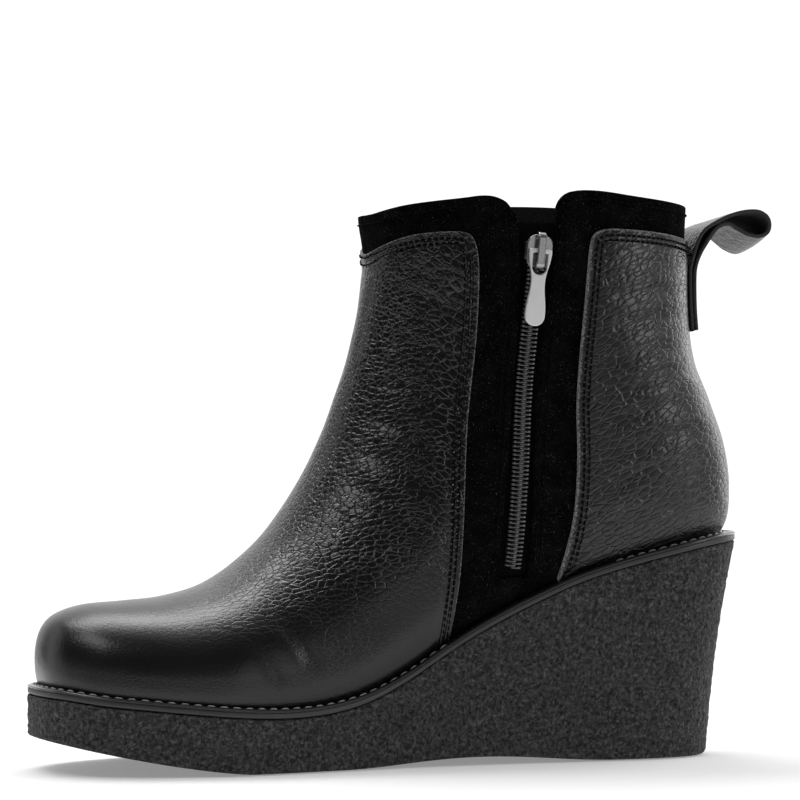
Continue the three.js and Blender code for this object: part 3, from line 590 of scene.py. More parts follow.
def brushed_suede(name, dark, light):
    """Suede with a dark nap, brushed in patches, and pale specks that lie up and down: painted glints off
    single fibres.
    """
    fibre_size = (0.00026, 0.00026, 0.0006)
    nap_depth = 0.00035
    made, base, shader = new_finish(name, Roughness=1.0, Specular_IOR_Level=0.02)
    place = base.place()
    nap = place.cloud(2600, 3)
    # Pale specks in the base colour: painted glints off single fibres.
    fibre_glints = place.laid((8, 0, 0), fibre_size).cloud(1.0, 2).ramp(0.66, 0.76)
    brushed = (nap * 0.75 + place.cloud(160, 3) * 0.45).ramp(0.45, 0.85)
    feed(shader, Base_Color=(brushed * 0.06 + fibre_glints * 0.94).greys(dark, light),
         Normal=(nap * 0.6 + place.cloud(900, 2) * 0.7).relief(nap_depth))
    return made


suede = brushed_suede("black_suede", 0.0006, 0.12)
shell_round = 0.0006
shell_cell = 0.0014


def rounded_edge(radius, degrees):
    """A profile of (outward, down) steps round an edge."""
    angles = [math.radians(a) for a in degrees]
    return [(radius * math.sin(a), radius * (1 - math.cos(a))) for a in angles]


places, faces, edges = cut_sheet(
    shell_cell, 0.0, lambda p: np.minimum(room_on_shell(p) - shell_round, over_welt(p))
)
points, out = on_boot(places[:, 0], places[:, 1], np.zeros(len(places)))
profile = rounded_edge(shell_round, (30, 60, 90)) + [(shell_round, shell_wall)]
points, faces, _ = hem(points, out, faces, edges, profile)
shell = make_piece("suede_shell", points, faces, [suede])
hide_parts("upper")


# Lining: a dark brushed cloth bonded to the inside of the shell, from the collar down to the insole.
lining_cell = 0.002
lining_edge = 0.0001
lining_dip = 0.002
lining, base, shader = new_finish("lining_cloth", Roughness=0.9, Specular_IOR_Level=0.2)
place = base.place()
threads = place.cells(1500) * 2.2
feed(shader, Base_Color=place.cloud(500, 3).greys(0.006, 0.022),
     Normal=(threads + place.cloud(1400, 2)).relief(0.0003))
places, faces, edges = cut_sheet(
    lining_cell, -shell_wall, lambda p: np.minimum(room_on_shell(p) - lining_edge, over_welt(p, lining_dip))
)
points, _ = on_boot(places[:, 0], places[:, 1], np.full(len(places), -shell_wall))
lined = make_piece("lining", points, [f[::-1] for f in faces], [lining])


# Front facing: a second layer of the same suede round the collar's front and down to the zip.
# Its raw edge makes the slot's front side and laps over the back part down to the welt.
facing_lift = 0.0005
facing_seam = [
    (0.629, 1.1), (0.637, 0.864), (0.641, 0.724), (0.638, 0.582), (0.635, 0.467), (0.630, 0.316),
    (0.624, 0.164), (0.618, 0.018), (0.615, -0.084), (0.609, -0.16), (0.6, -0.235), (0.59, -0.4),
]
vamp_medial = [
    (0.3, 0.81), (0.452, 0.82), (0.463, 0.862), (0.494, 0.892), (0.527, 0.9), (0.558, 0.902),
    (0.571, 0.893), (0.579, 0.86), (0.583, 0.79), (0.584, 0.67), (0.582, 0.543),
    (0.571, 0.342), (0.566, 0.197), (0.562, 0.049), (0.557, -0.127), (0.546, -0.301), (0.54, -0.8),
]
vamp_lateral = [
    (0.3, 0.81), (0.452, 0.82), (0.463, 0.862), (0.494, 0.892), (0.56, 0.903), (0.632, 0.91),
    (0.632, 0.7), (0.628, 0.45), (0.618, 0.2), (0.604, -0.05), (0.59, -0.3), (0.575, -0.8),
]


def before(edge):
    """The outline of all that lies on the toe's side of an edge."""
    line = side_line(edge)
    return np.concatenate([[[-far, line[0, 1]]], line, [[-far, -far]]])


facing_front = np.concatenate([[[-far, far]], side_line(facing_seam), [[-far, -far]]])
vamp_outlines = before(vamp_medial), before(vamp_lateral)


def room_on_facing(points):
    """How far a place is inside the facing, which ends on the outer side and just under the vamp."""
    outer_end, under_vamp = along_x(0.62), 0.005
    front = np.where(is_medial(points), seen_inside(facing_front, points), outer_end - points[:, 0])
    hidden = under_vamp - room_in(vamp_outlines, points)
    return np.minimum.reduce([room_in(under_collar, points), front, hidden])


facing_round = 0.0003
facing_cell = 0.0007
front_seam_width = 0.0008
front_seam_depth = 0.00035
places, faces, edges = cut_sheet(
    facing_cell, facing_lift, lambda p: np.minimum(room_on_facing(p) - facing_round, over_welt(p))
)
points, out = on_boot(places[:, 0], places[:, 1], np.full(len(places), facing_lift))
front_seam = np.exp(-(((points[:, 1] - last_middle[1]) / front_seam_width) ** 2))
front_seam *= points[:, 0] < along_x(0.5)
points = points - out * (front_seam_depth * front_seam)[:, None]
profile = [
    (0.7 * facing_round, 0.3 * facing_round), (facing_round, facing_round), (facing_round, facing_lift),
]
points, faces, _ = hem(points, out, faces, edges, profile)
facing = make_piece("suede_facing", points, faces, [suede])


# Vamp: black cow leather, tumbled so that its grain shrinks into pebbles over the instep and the shaft,
# and lasted smooth over the toe. It is cut in one piece, laid on the shell and sewn down with two rows.
leather_lift = 0.0015
leather_round = 0.00055
leather_cell = 0.00105
leather_tuck = 0.0014
sewn_dip = 0.00022
sewn_insets = (0.0022, 0.0039)
black_dye = (0.0028, 0.0028, 0.003)
raw_hide = (0.32, 0.316, 0.31)


def eased(share):
    """A share kept to 0 to 1, with a soft start and end."""
    share = np.clip(share, 0, 1)
    return share * share * (3 - 2 * share)


def folds(points, lines):
    """Height of soft folds: from, to, depth, width. Each dips between two low ridges."""
    x, z = points[:, 0], points[:, 2]
    height = np.zeros(len(points))
    for start, end, depth, width in lines:
        (x0, x1), (z0, z1) = along_x([start[0], end[0]]), rise_z([start[1], end[1]])
        dx, dz = x1 - x0, z1 - z0
        length = math.hypot(dx, dz)
        t = ((x - x0) * dx + (z - z0) * dz) / length**2
        bend = 0.06 * length * np.sin(np.pi * np.clip(t, 0, 1))
        off = ((x - x0) * dz - (z - z0) * dx) / length + bend
        fade = eased(np.clip(t / 0.3, 0, 1) * np.clip((1 - t) / 0.3, 0, 1))
        dip = np.exp(-((off / width) ** 2))
        ridges = np.exp(-(((off - 2 * width) / width) ** 2)) + np.exp(-(((off + 2 * width) / width) ** 2))
        height += fade * depth * (0.55 * ridges - dip)
    return height


def tumbled_leather(name, pebbles, smooth_toe, raw_width, matt=0.24):
    """Black grained leather. pebbles: turn about the boot's width, cell length and width, from x, to x."""
    made, base, shader = new_finish(name, Specular_IOR_Level=0.5, IOR=1.5)
    place = base.place()
    pushed = place.moved(place.cloud(260, 1, output=1), 0.0008)
    grain = None
    for turn, length, width, start, stop in pebbles:
        laid = pushed.laid((0, turn, 0), (length, 0.65 * length, width))
        dome, crease = laid.cells(1.0, "F1"), laid.cells(1.0).ramp(0.0, 0.13)
        bud = pushed.laid((0, turn, 0), (0.55 * length, 0.5 * length, 0.6 * width)).cells(1.0, "F1")
        cell = 0.6 + 0.4 * crease - 0.45 * dome * dome - 0.25 * bud * bud
        grain = cell if grain is None else grain + place.axis("X").ramp(start, stop) * (cell - grain)
    pores = place.cloud(1600, 2)
    if smooth_toe:
        low_side = (place.axis("Z") - 0.3 * place.axis("X")).ramp(0.084, 0.052)
        strength = (place.axis("X").ramp(-0.1, -0.03) * 0.92 + 0.08) * (1 - 0.88 * low_side)
    else:
        strength = 1 - place.axis("X").ramp(0.05, 0.11) * 0.3
    uneven = place.cloud(70, 2).ramp(0.3, 0.7) * 0.3 + 0.75
    height = strength * uneven * grain + pores * 0.15
    edge = base.node("Attribute", {"attribute_name": "edge"}, output="Fac")
    first_row, second_row = [abs(edge - inset * 1000).ramp(0.0, 0.6) for inset in sewn_insets]
    puffed = first_row + second_row
    raw = (edge + place.cloud(1900, 2) * 1.3).ramp(raw_width + 0.75, raw_width + 0.25)
    smudge = place.cloud(45, 3).ramp(0.3, 0.75)
    colour = (raw * place.cloud(1500, 2).ramp(0.25, 0.6)).blend(black_dye, raw_hide)
    roughness = matt - 0.04 * smudge + 0.08 * (1 - strength * grain) + 0.5 * raw
    bump = (height + 0.55 * puffed + 0.5 * raw * place.cloud(2600, 2)).relief(0.00042)
    feed(shader, Base_Color=colour, Roughness=roughness, Normal=bump)
    return made


def leather_panel(name, outlines, lines, finish, lap):
    """A leather panel inside its outlines, rounded over at its cut edge, with its listed folds."""
    places, faces, edges = cut_sheet(
        leather_cell, leather_lift, lambda p: np.minimum(room_in(outlines, p) - leather_round, over_welt(p))
    )
    base_points, _ = on_boot(places[:, 0], places[:, 1], np.full(len(places), leather_lift))
    edge = room_in(outlines, base_points)
    quiet = np.clip((edge - 0.005) / 0.008, 0, 1)
    pressed = 1 - eased((edge - 0.0052) / 0.0022)
    lift = leather_lift - sewn_dip * pressed * np.clip(edge / 0.001, 0, 1)
    lift = lift + quiet * folds(base_points, lines) + lap(base_points, edge)
    points, out = on_boot(places[:, 0], places[:, 1], lift)
    profile = rounded_edge(leather_round, (25, 50, 75))
    profile += [(leather_round, leather_round), (leather_round, leather_tuck)]
    points, faces, step = hem(points, out, faces, edges, profile)
    rim_step = step[len(edge):]
    edge = np.concatenate([edge, leather_round * (1 - rim_step / len(profile))])
    piece = make_piece(name, points, faces, [finish], edge=np.clip(edge * 1000, 0, 12))
    return piece


vamp_folds = [
    ((0.455, 0.60), (0.560, 0.50), 0.00025, 0.0022),
    ((0.450, 0.47), (0.565, 0.35), 0.00030, 0.0024),
    ((0.440, 0.36), (0.540, 0.22), 0.00035, 0.0024),
    ((0.425, 0.26), (0.530, 0.10), 0.00040, 0.0026),
    ((0.405, 0.16), (0.500, 0.00), 0.00040, 0.0026),
    ((0.380, 0.06), (0.470, -0.10), 0.00035, 0.0026),
    ((0.352, -0.03), (0.430, -0.19), 0.00030, 0.0028),
    ((0.250, -0.30), (0.300, -0.44), 0.00022, 0.0030),
    ((0.290, -0.22), (0.345, -0.40), 0.00025, 0.0030),
    ((0.470, 0.74), (0.550, 0.66), 0.00022, 0.0020),
]


def vamp_lap(points, edge):
    """Over the quarter at the outer side's seam, the vamp stands a little higher."""
    lap_height, lap_width = 0.0006, 0.007
    outer = (points[:, 1] > last_middle[1]) & (points[:, 0] > along_x(0.5)) & (points[:, 2] < rise_z(0.86))
    return lap_height * eased(1 - edge / lap_width) * outer


vamp_leather = tumbled_leather(
    "vamp_leather", [(2, 0.0029, 0.0017, -1, -0.9), (38, 0.0036, 0.0021, -0.022, 0.012)], True, 0.45
)
vamp = leather_panel("vamp_leather", vamp_outlines, vamp_folds, vamp_leather, vamp_lap)
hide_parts("vamp")


# Quarter: the same leather round the heel, from the zip to the outer side's seam, with a shallow closing
# seam down the back. Its pebbles are drawn out along lines that rise towards the heel.
quarter_medial = [
    (1.1, 0.89), (0.937, 0.893), (0.877, 0.909), (0.822, 0.916), (0.773, 0.918),
    (0.755, 0.912), (0.745, 0.897), (0.74, 0.865), (0.736, 0.76), (0.731, 0.65), (0.726, 0.52),
    (0.723, 0.375), (0.727, 0.253), (0.725, 0.076), (0.719, -0.013), (0.709, -0.131), (0.69, -0.8),
]
seam_width = 0.0004 / last_length
quarter_lateral = [(1.1, 0.89), (0.937, 0.893), (0.877, 0.905), (0.76, 0.913)]
quarter_lateral += [(along + seam_width, rise) for along, rise in vamp_lateral[5:]]


def behind(edge):
    line = side_line(edge)
    return np.concatenate([[[far, line[0, 1]]], line, [[far, -far]]])


quarter_outlines = behind(quarter_medial), behind(quarter_lateral)
quarter_folds = [
    ((0.775, 0.80), (0.900, 0.83), 0.00020, 0.0018),
    ((0.760, 0.69), (0.910, 0.74), 0.00026, 0.0020),
    ((0.770, 0.60), (0.930, 0.66), 0.00030, 0.0021),
    ((0.755, 0.50), (0.900, 0.56), 0.00030, 0.0021),
    ((0.780, 0.42), (0.950, 0.50), 0.00034, 0.0023),
    ((0.760, 0.31), (0.900, 0.39), 0.00030, 0.0023),
    ((0.790, 0.22), (0.960, 0.32), 0.00030, 0.0024),
    ((0.755, 0.12), (0.860, 0.20), 0.00024, 0.0022),
    ((0.745, -0.02), (0.815, 0.07), 0.00022, 0.0022),
]


def closing_seam(points, edge):
    """The shallow valley down the back, where the leather's two ends meet."""
    seam_depth, valley_width = 0.0003, 0.0011
    back = points[:, 0] > along_x(0.8)
    return -seam_depth * back * np.exp(-(((points[:, 1] - last_middle[1]) / valley_width) ** 2))


quarter_leather = tumbled_leather("quarter_leather", [(-24, 0.0046, 0.0018, -1, -0.9)], False, 0.6, 0.3)
quarter = leather_panel("quarter_leather", quarter_outlines, quarter_folds, quarter_leather, closing_seam)
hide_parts("quarter")


# Stitches: bonded black thread in two rows round each panel, one under the collar's edge, and two on
# each side of the zip. Each stitch is its own short loop that dives into the leather at both ends.
thread, base, shader = new_finish("black_thread", Roughness=0.8, Specular_IOR_Level=0.06)
twist = base.place().cloud(4200, 2)
feed(shader, Base_Color=twist.greys(0.0012, 0.006), Normal=twist.relief(0.0002))


def rods(centres, one, other, wide, high, sides):
    """Many closed rods at once. centres is (rods, rings, 3), one and other span each ring's plane."""
    count, rings = centres.shape[:2]
    angle = 2 * np.pi * np.arange(sides) / sides
    ring = (one[:, :, None] * (wide[..., None] * np.cos(angle))[..., None]
            + other[:, :, None] * (high[..., None] * np.sin(angle))[..., None])
    points = (centres[:, :, None] + ring).reshape(-1, 3)
    first = np.arange(sides)
    following = (first + 1) % sides
    strip = np.stack([first, following, sides + following, sides + first], -1)
    quads = np.concatenate([r * sides + strip for r in range(rings - 1)])
    start = np.arange(count)[:, None] * rings * sides
    faces = (start[:, :, None] + quads[None]).reshape(-1, 4).tolist()
    faces += (start + first[::-1]).tolist() + (start + (rings - 1) * sides + first).tolist()
    return points, faces


def seam_paths(room_inside, lift, keep, cell=0.0016):
    """Lines on the boot along which room_inside(points) is zero, where keep(points) holds."""
    places, _, edges = cut_sheet(cell, 0.0, room_inside)
    following = dict(edges.tolist())
    starts = set(following) - set(following.values())
    paths = []
    while following:
        at = starts.pop() if starts else next(iter(following))
        path = [at]
        while at in following:
            at = following.pop(at)
            path.append(at)
        paths.append(places[path])
    found = []
    for path in paths:
        v = np.unwrap(path[:, 1], period=1)
        points, out = on_boot(path[:, 0], v, np.full(len(path), lift))
        good = keep(points)
        runs = np.split(np.arange(len(path)), np.flatnonzero(np.diff(good.astype(int))) + 1)
        found += [(points[r], out[r]) for r in runs if good[r[0]] and len(r) > 5]
    return found


def sew(points, out, pitch, length, thick):
    """Stitches of one length along a path, standing a little out of it."""
    run = np.concatenate([[0], np.cumsum(np.linalg.norm(np.diff(points, axis=0), axis=1))])
    count = int(run[-1] / pitch)
    if count < 1:
        return np.zeros((0, 3)), []
    at = lambda s, values: np.stack([np.interp(s, run, values[:, i]) for i in range(3)], -1)
    middle = (np.arange(count) + 0.5) * run[-1] / count
    bow = np.array([-1, -0.86, -0.45, 0, 0.45, 0.86, 1])
    normal = at(middle, out)
    direction = at(middle + length / 4, points) - at(middle - length / 4, points)
    direction /= np.linalg.norm(direction, axis=1, keepdims=True)
    across = np.cross(normal, direction)
    high = thick * (0.55 - 1.6 * bow**4)
    centres = (at(middle, points)[:, None] + direction[:, None] * (bow * length / 2)[None, :, None]
               + normal[:, None] * high[None, :, None])
    size = np.broadcast_to(thick * (1 - 0.5 * bow**6), centres.shape[:2])
    spread = lambda d: np.broadcast_to(d[:, None], centres.shape)
    return rods(centres, spread(across), spread(normal), size, size, 6)


def gather(parts):
    """Several lists of points and faces as one."""
    points, faces, count = [], [], 0
    for p, f in parts:
        faces += [[i + count for i in face] for face in f]
        points.append(p)
        count += len(p)
    return np.concatenate(points), faces


def above_welt(points):
    return points[:, 2] > feather_z(points[:, 0]) + 0.001


def sew_seam(room_inside, lift, keep, pitch, length, thick):
    """A row of stitches along each line where room_inside(points) is zero and keep(points) holds."""
    return [sew(path, out, pitch, length, thick) for path, out in seam_paths(room_inside, lift, keep)]


panel_pitch = 0.0022
panel_stitch = 0.0017
thread_radius = 0.00026
panel_rows = []
for outlines in (vamp_outlines, quarter_outlines):
    for inset in sewn_insets:
        line = lambda p: room_in(outlines, p) - inset
        panel_rows += sew_seam(line, leather_lift, above_welt, panel_pitch, panel_stitch, thread_radius)
points, faces = gather(panel_rows)
panel_stitches = make_piece("panel_stitches", points, faces, [thread])

suede_pitch = 0.0026
suede_stitch = 0.002
collar_inset = 0.003
collar_thread_radius = 0.00024
facing_back = along_x(0.6)


def on_collar(points):
    """Round the collar, but not across the zip."""
    beside_zip = (np.abs(points[:, 0] - along_x(0.66)) > 0.0095) | (points[:, 1] > last_middle[1])
    return beside_zip & (points[:, 2] > rise_z(0.8))


def below_collar(points):
    return above_welt(points) & (points[:, 2] < rise_z(0.97))


def behind_zip(points):
    return below_collar(points) & (points[:, 0] > along_x(0.64)) & is_medial(points)


collar_rows = [
    (0.0002, lambda p: on_collar(p) & (p[:, 0] > facing_back)),
    (facing_lift + 0.0002, lambda p: on_collar(p) & (p[:, 0] <= facing_back)),
]
suede_rows = []
for lift, keep in collar_rows:
    line = lambda p: room_in(under_collar, p) - collar_inset
    suede_rows += sew_seam(line, lift, keep, suede_pitch, suede_stitch, collar_thread_radius)
for inset in (0.0018, 0.0038):
    front_line = lambda p: np.where(is_medial(p), seen_inside(facing_front, p), 1.0) - inset
    back_line = lambda p: np.where(is_medial(p), -seen_inside(slot_hole, p), 1.0) - inset
    front_lift, back_lift = facing_lift + 0.0001, 0.0001
    suede_rows += sew_seam(front_line, front_lift, below_collar, suede_pitch, suede_stitch, thread_radius)
    suede_rows += sew_seam(back_line, back_lift, behind_zip, suede_pitch, suede_stitch, thread_radius)
points, faces = gather(suede_rows)
suede_stitches = make_piece("suede_stitches", points, faces, [thread])


# Feather line: where the shell meets the sole, seen from above. The welt, the wedge and the footbed are
# all grown from it, as on a real boot.
stations = 420
welt_reach = 0.0047
welt_heel_reach = 0.0022


def feather_outline(lift):
    """The shell at lift where it meets the feather surface: toe, inner side, heel and outer side again."""
    def above(u, v):
        points, _ = on_boot(u, v, np.full(u.shape, lift))
        return points[:, 2] > feather_z(points[:, 0])

    def crossing(over, under, is_above):
        over, under = over.copy(), under.copy()
        for _ in range(26):
            mid = (over + under) / 2
            up = is_above(mid)
            over, under = np.where(up, mid, over), np.where(up, under, mid)
        return under

    base = np.zeros(1)
    start = crossing(base + 0.1, base + 4, lambda u: above(u, base))[0]
    end = crossing(base + 18, base + 13, lambda u: above(u, base))[0]
    half = stations // 2
    u = start + (end - start) * (1 - np.cos(np.pi * np.arange(half + 1) / half)) / 2
    full = np.ones(half + 1)
    inner = on_boot(u, crossing(0.75 * full, full, lambda v: above(u, v)), lift * full)[0]
    outer = on_boot(u, crossing(0.25 * full, 0 * full, lambda v: above(u, v)), lift * full)[0]
    return np.concatenate([inner[:-1], outer[:0:-1]])[:, :2]


def grown(outline, reach, heel_reach=0.0):
    """An outline from above grown outwards, and by more round the heel, with its stations kept."""
    tangent = np.roll(outline, -1, axis=0) - np.roll(outline, 1, axis=0)
    tangent /= np.linalg.norm(tangent, axis=1, keepdims=True)
    heel = eased(((outline[:, 0] - toe_x) / last_length - 0.75) / 0.25)
    out = np.stack([tangent[:, 1], -tangent[:, 0]], -1)
    return outline + out * (reach + heel_reach * heel)[:, None]


def evened(outline, count):
    """The outline with count stations at equal steps."""
    loop = np.concatenate([outline, outline[:1]])
    run = np.concatenate([[0], np.cumsum(np.linalg.norm(np.diff(loop, axis=0), axis=1))])
    at = np.arange(count) * run[-1] / count
    return np.stack([np.interp(at, run, loop[:, i]) for i in (0, 1)], -1)


def band(levels, closed=True):
    """Points and faces between rings of one station count; a closed ring joins its end to its start."""
    levels = np.asarray(levels)
    rows, count = levels.shape[:2]
    number = np.arange(rows * count).reshape(rows, count)
    after = np.roll(number, -1, axis=1)
    if not closed:
        number, after = number[:, :-1], after[:, :-1]
    quads = np.stack([number[:-1], after[:-1], after[1:], number[1:]], -1)
    return levels.reshape(-1, 3), quads.reshape(-1, 4).tolist()


def lid(ring, upwards, columns):
    """Fills a ring with rows across it, from each station to the one opposite."""
    count = len(ring)
    half = count // 2
    share = np.linspace(0, 1, columns + 1)[None, :, None]
    one, other = ring[:half + 1], ring[(-np.arange(half + 1)) % count]
    points, faces = band(one[:, None] * (1 - share) + other[:, None] * share, closed=False)
    return points, faces if upwards else [f[::-1] for f in faces]


feather = feather_outline(0.0)


# Welt: a black rubber rand round the whole boot, cemented between upper and wedge. A glossy bead runs
# along its top edge over a plain band, and pale waxed thread sews it down in long stitches.
welt_joint_x = 0.0462
rubber, base, shader = new_finish("welt_rubber", Specular_IOR_Level=0.5)
place = base.place()
streaks = place.laid((0, 0, 0), (0.02, 0.02, 0.0006)).cloud(1.0, 2)
level = base.node("Attribute", {"attribute_name": "level"}, output="Fac")
bead_gloss = level.ramp(2.15, 2.4)
joint = abs(place.axis("X") - welt_joint_x).ramp(0.00025, 0.00012) * place.axis("Y").ramp(0.0, -0.01)
feed(shader, Base_Color=streaks.greys(0.014, 0.03),
     Roughness=0.44 - 0.3 * bead_gloss + 0.06 * place.cloud(900, 2),
     Normal=(streaks * 0.12 - joint).relief(0.0002))

# outward, height over the wedge's top
welt_section = [
    (-0.0024, 0.0004), (0.0020, 0.0003), (0.0044, 0.0003), (0.00468, 0.00038), (0.0048, 0.0006),
    (0.0048, 0.0012), (0.0048, 0.0018), (0.00475, 0.0020), (0.0045, 0.00212), (0.0045, 0.0022),
    (0.00478, 0.0023), (0.00494, 0.00245), (0.00496, 0.0026), (0.00486, 0.0028), (0.00466, 0.00298),
    (0.0044, 0.00314), (0.0041, 0.00328), (0.0038, 0.00336), (0.0035, 0.00332), (0.0032, 0.00312),
    (0.0029, 0.0029), (0.0024, 0.00282), (0.0018, 0.003), (0.0012, 0.0033), (0.0005, 0.00348),
    (-0.0004, 0.0034), (-0.0024, 0.0032),
]
levels = []
for outward, height in welt_section:
    line = grown(feather, outward, welt_heel_reach if outward > 0 else 0.0)
    levels.append(np.column_stack([line, wedge_top(line[:, 0]) + height]))
levels.append(levels[0])
points, faces = band(levels)
heights = [height for _, height in welt_section] + [welt_section[0][1]]
welt = make_piece("welt_rand", points, faces, [rubber], level=np.repeat(np.array(heights) * 1000, stations))
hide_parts("welt")

waxed, base, shader = new_finish("waxed_thread", Roughness=0.5, Specular_IOR_Level=0.4)
strands = base.place().cloud(2600, 2)
feed(shader, Base_Color=strands.blend((0.22, 0.22, 0.216), (0.6, 0.6, 0.59)), Normal=strands.relief(0.0003))
welt_pitch = 0.0042
welt_stitch = 0.0031
waxed_radius = 0.00032
line = evened(grown(feather, 0.003, 0.0), 700)
path = np.column_stack([line, wedge_top(line[:, 0]) + 0.00325])
path = np.concatenate([path, path[:1]])
sewn = (path[:, 0] < 0.006) | (path[:, 0] > 0.066)
runs = np.split(np.arange(len(path)), np.flatnonzero(np.diff(sewn.astype(int))) + 1)
upwards = np.tile((0.0, 0.0, 1.0), (len(path), 1))
runs = [run for run in runs if sewn[run[0]] and len(run) > 9]
points, faces = gather([sew(path[run], upwards[run], welt_pitch, welt_stitch, waxed_radius) for run in runs])
welt_stitches = make_piece("welt_stitches", points, faces, [waxed])


# Wedge: one block of black natural crepe rubber from toe to heel, with the crinkled skin that it is moulded
# with. The tread is flat at ball and heel, with shallow cross ribs cut into it.
toe_spring = 0.0116
arch_hollow = 0.0024
heel_bevel = 0.0022
rear_slant = 0.011
heel_bow = 0.0015
side_taper = 0.02
tread_rib = 0.0065
tread_depth = 0.0008
ball_end = 0.255
arch_start = 0.385
arch_end = 0.8
bevel_start = 0.925


def tread_z(x):
    """Height of the tread, which rises at the toe, under the arch and at the back of the heel."""
    along = (x - toe_x) / last_length
    toe_end = -welt_reach / last_length
    heel_end = 1 - (rear_slant - welt_reach - welt_heel_reach) / last_length
    toe = toe_spring * np.clip((ball_end - along) / (ball_end - toe_end), 0, None) ** 1.4
    arch = arch_hollow * np.sin(np.pi * np.clip((along - arch_start) / (arch_end - arch_start), 0, 1)) ** 2
    heel = heel_bevel * np.clip((along - bevel_start) / (heel_end - bevel_start), 0, 1) ** 2
    return toe + arch + heel


def wedge_line(outline, level, inset):
    """The wedge's wall at a share of its height, pulled in by an inset."""
    line = grown(outline, -inset)
    rear = eased(((line[:, 0] - toe_x) / last_length - 0.55) / 0.45)
    down = 1 - level
    x = line[:, 0] - rear * (rear_slant * down + heel_bow * math.sin(math.pi * level))
    y = last_middle[1] + (line[:, 1] - last_middle[1]) * (1 - side_taper * down * (1 + rear))
    low = tread_z(x)
    return np.column_stack([x, y, low + (wedge_top(line[:, 0]) - low) * level])


crepe, base, shader = new_finish("crepe_rubber", Specular_IOR_Level=0.3)
place = base.place()
worm = place.moved(place.cloud(420, 3, output=1), 0.0024)
creased = abs(worm.cloud(640, 3) - 0.5).ramp(0.0, 0.13)
crumbs = place.cloud(700, 3)
lumps = place.cloud(300, 2)
# The colour follows the crinkles' relief, dark in their creases and hollows and pale on their ridges:
# painted shade and highlight.
painted_hollow_shade = crumbs.ramp(0.3, 0.7) * 0.6 + creased * 0.4
feed(shader, Base_Color=painted_hollow_shade.blend((0.006, 0.006, 0.0062), (0.13, 0.13, 0.131)),
     Roughness=0.62 + 0.2 * lumps, Normal=(creased * 0.5 + crumbs * 1.4 + lumps * 0.5).relief(0.0026))

wall_count = 820
wall_outline = evened(grown(feather, welt_reach, welt_heel_reach), wall_count)
edge_round = 0.0009
levels, crimped = [], []
for angle in (0, 25, 50, 70):
    a = math.radians(angle)
    line = wedge_line(wall_outline, 0.0, edge_round * (1 - math.sin(a)))
    line[:, 2] += edge_round * (1 - math.cos(a))
    levels.append(line)
    crimped.append(0.0)
for level in np.linspace(0, 1, 58)[1:-1]:
    line = wedge_line(wall_outline, level, 0.0)
    foot = wedge_line(wall_outline, 0.0, 0.0)[:, 2]
    line[:, 2] = np.maximum(line[:, 2], foot + edge_round * (1 + 0.2 * level))
    levels.append(line)
    crimped.append(min(1.0, (1 - level) / 0.03))
for inset in (0.0001, 0.0005):
    line = wedge_line(wall_outline, 1.0, inset)
    line[:, 2] -= 0.0004 - inset * 0.8
    levels.append(line)
    crimped.append(0.0)
levels = np.array(levels)
tangent = np.roll(levels, -1, axis=1) - np.roll(levels, 1, axis=1)
out = np.stack([tangent[..., 1], -tangent[..., 0], 0 * tangent[..., 0]], -1)
out /= np.linalg.norm(out, axis=-1, keepdims=True)
skin = np.array([
    0.00036 * noise.noise(Vector(p) * 430) + 0.00024 * noise.noise(Vector(p) * 800)
    for p in levels.reshape(-1, 3)
]).reshape(levels.shape[:2])
levels += out * (skin * np.array(crimped)[:, None])[..., None]
wall = band(levels)
top_lid = lid(levels[-1], True, 8)
tread_columns = 40
tread_points, tread_faces = lid(levels[0], False, tread_columns)
ribbed = np.abs((tread_points[:, 0] / tread_rib) % 1 - 0.5) < 0.14
row = np.arange(len(tread_points)) % (tread_columns + 1)
tread_points[:, 2] += tread_depth * (ribbed & (row > 2) & (row < tread_columns - 2))
points, faces = gather([wall, top_lid, (tread_points, tread_faces)])
wedge = make_piece("crepe_wedge", points, faces, [crepe])
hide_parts("wedge_sole")


# Footbed: a foam insole under a black leather sock, laid loose on the sole inside the shell.
insole_height = 0.0053
sock, base, shader = new_finish("footbed_leather", Roughness=0.62, Specular_IOR_Level=0.35)
place = base.place()
grain = place.cells(900).ramp(0.0, 0.3)
feed(shader, Base_Color=place.cloud(60, 2).blend((0.01, 0.0095, 0.009), (0.022, 0.021, 0.02)),
     Normal=(grain + place.cloud(2500, 2) * 0.4).relief(0.00018))
bed_outline = feather_outline(-0.0032)
# inwards, height over the wedge's top
bed_section = [
    (0.0003, 0.0003), (0.0003, 0.0042), (0.0005, 0.0049), (0.0009, 0.0052), (0.0013, insole_height),
]
levels = []
for inset, height in bed_section:
    line = grown(bed_outline, -inset)
    levels.append(np.column_stack([line, wedge_top(line[:, 0]) + height]))
points, faces = gather([band(levels), lid(levels[-1], True, 30), lid(levels[0], False, 4)])
footbed = make_piece("footbed", points, faces, [sock])
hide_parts("insole")


# Pull loop: a strip of the same leather with a suede back, folded into a loop and sewn to the closing
# seam at the heel. Its raw edges show the suede, and the free end droops to one side.
strap_width = 0.023
strap_thickness = 0.0013
strap_twist = 0.22
strap_reach = 0.0288
strap_rise = 0.041
strap_foot = 0.62
strap_sewn = 0.6
strap_gap = 0.00045
strap_lift = leather_lift + strap_gap + strap_thickness / 2
# out, up
strap_rows = [
    (0.0, 0.0), (0.0, 0.3), (0.0, 0.6), (0.02, 0.74), (0.12, 0.86), (0.28, 0.93),
    (0.47, 0.98), (0.68, 1.0), (0.86, 0.985), (0.97, 0.93), (1.0, 0.86), (0.97, 0.79),
    (0.86, 0.755), (0.7, 0.78), (0.55, 0.845), (0.43, 0.9), (0.3, 0.883), (0.18, 0.79),
    (0.09, 0.68), (0.06, 0.5), (0.055, 0.2), (0.055, 0.01),
]


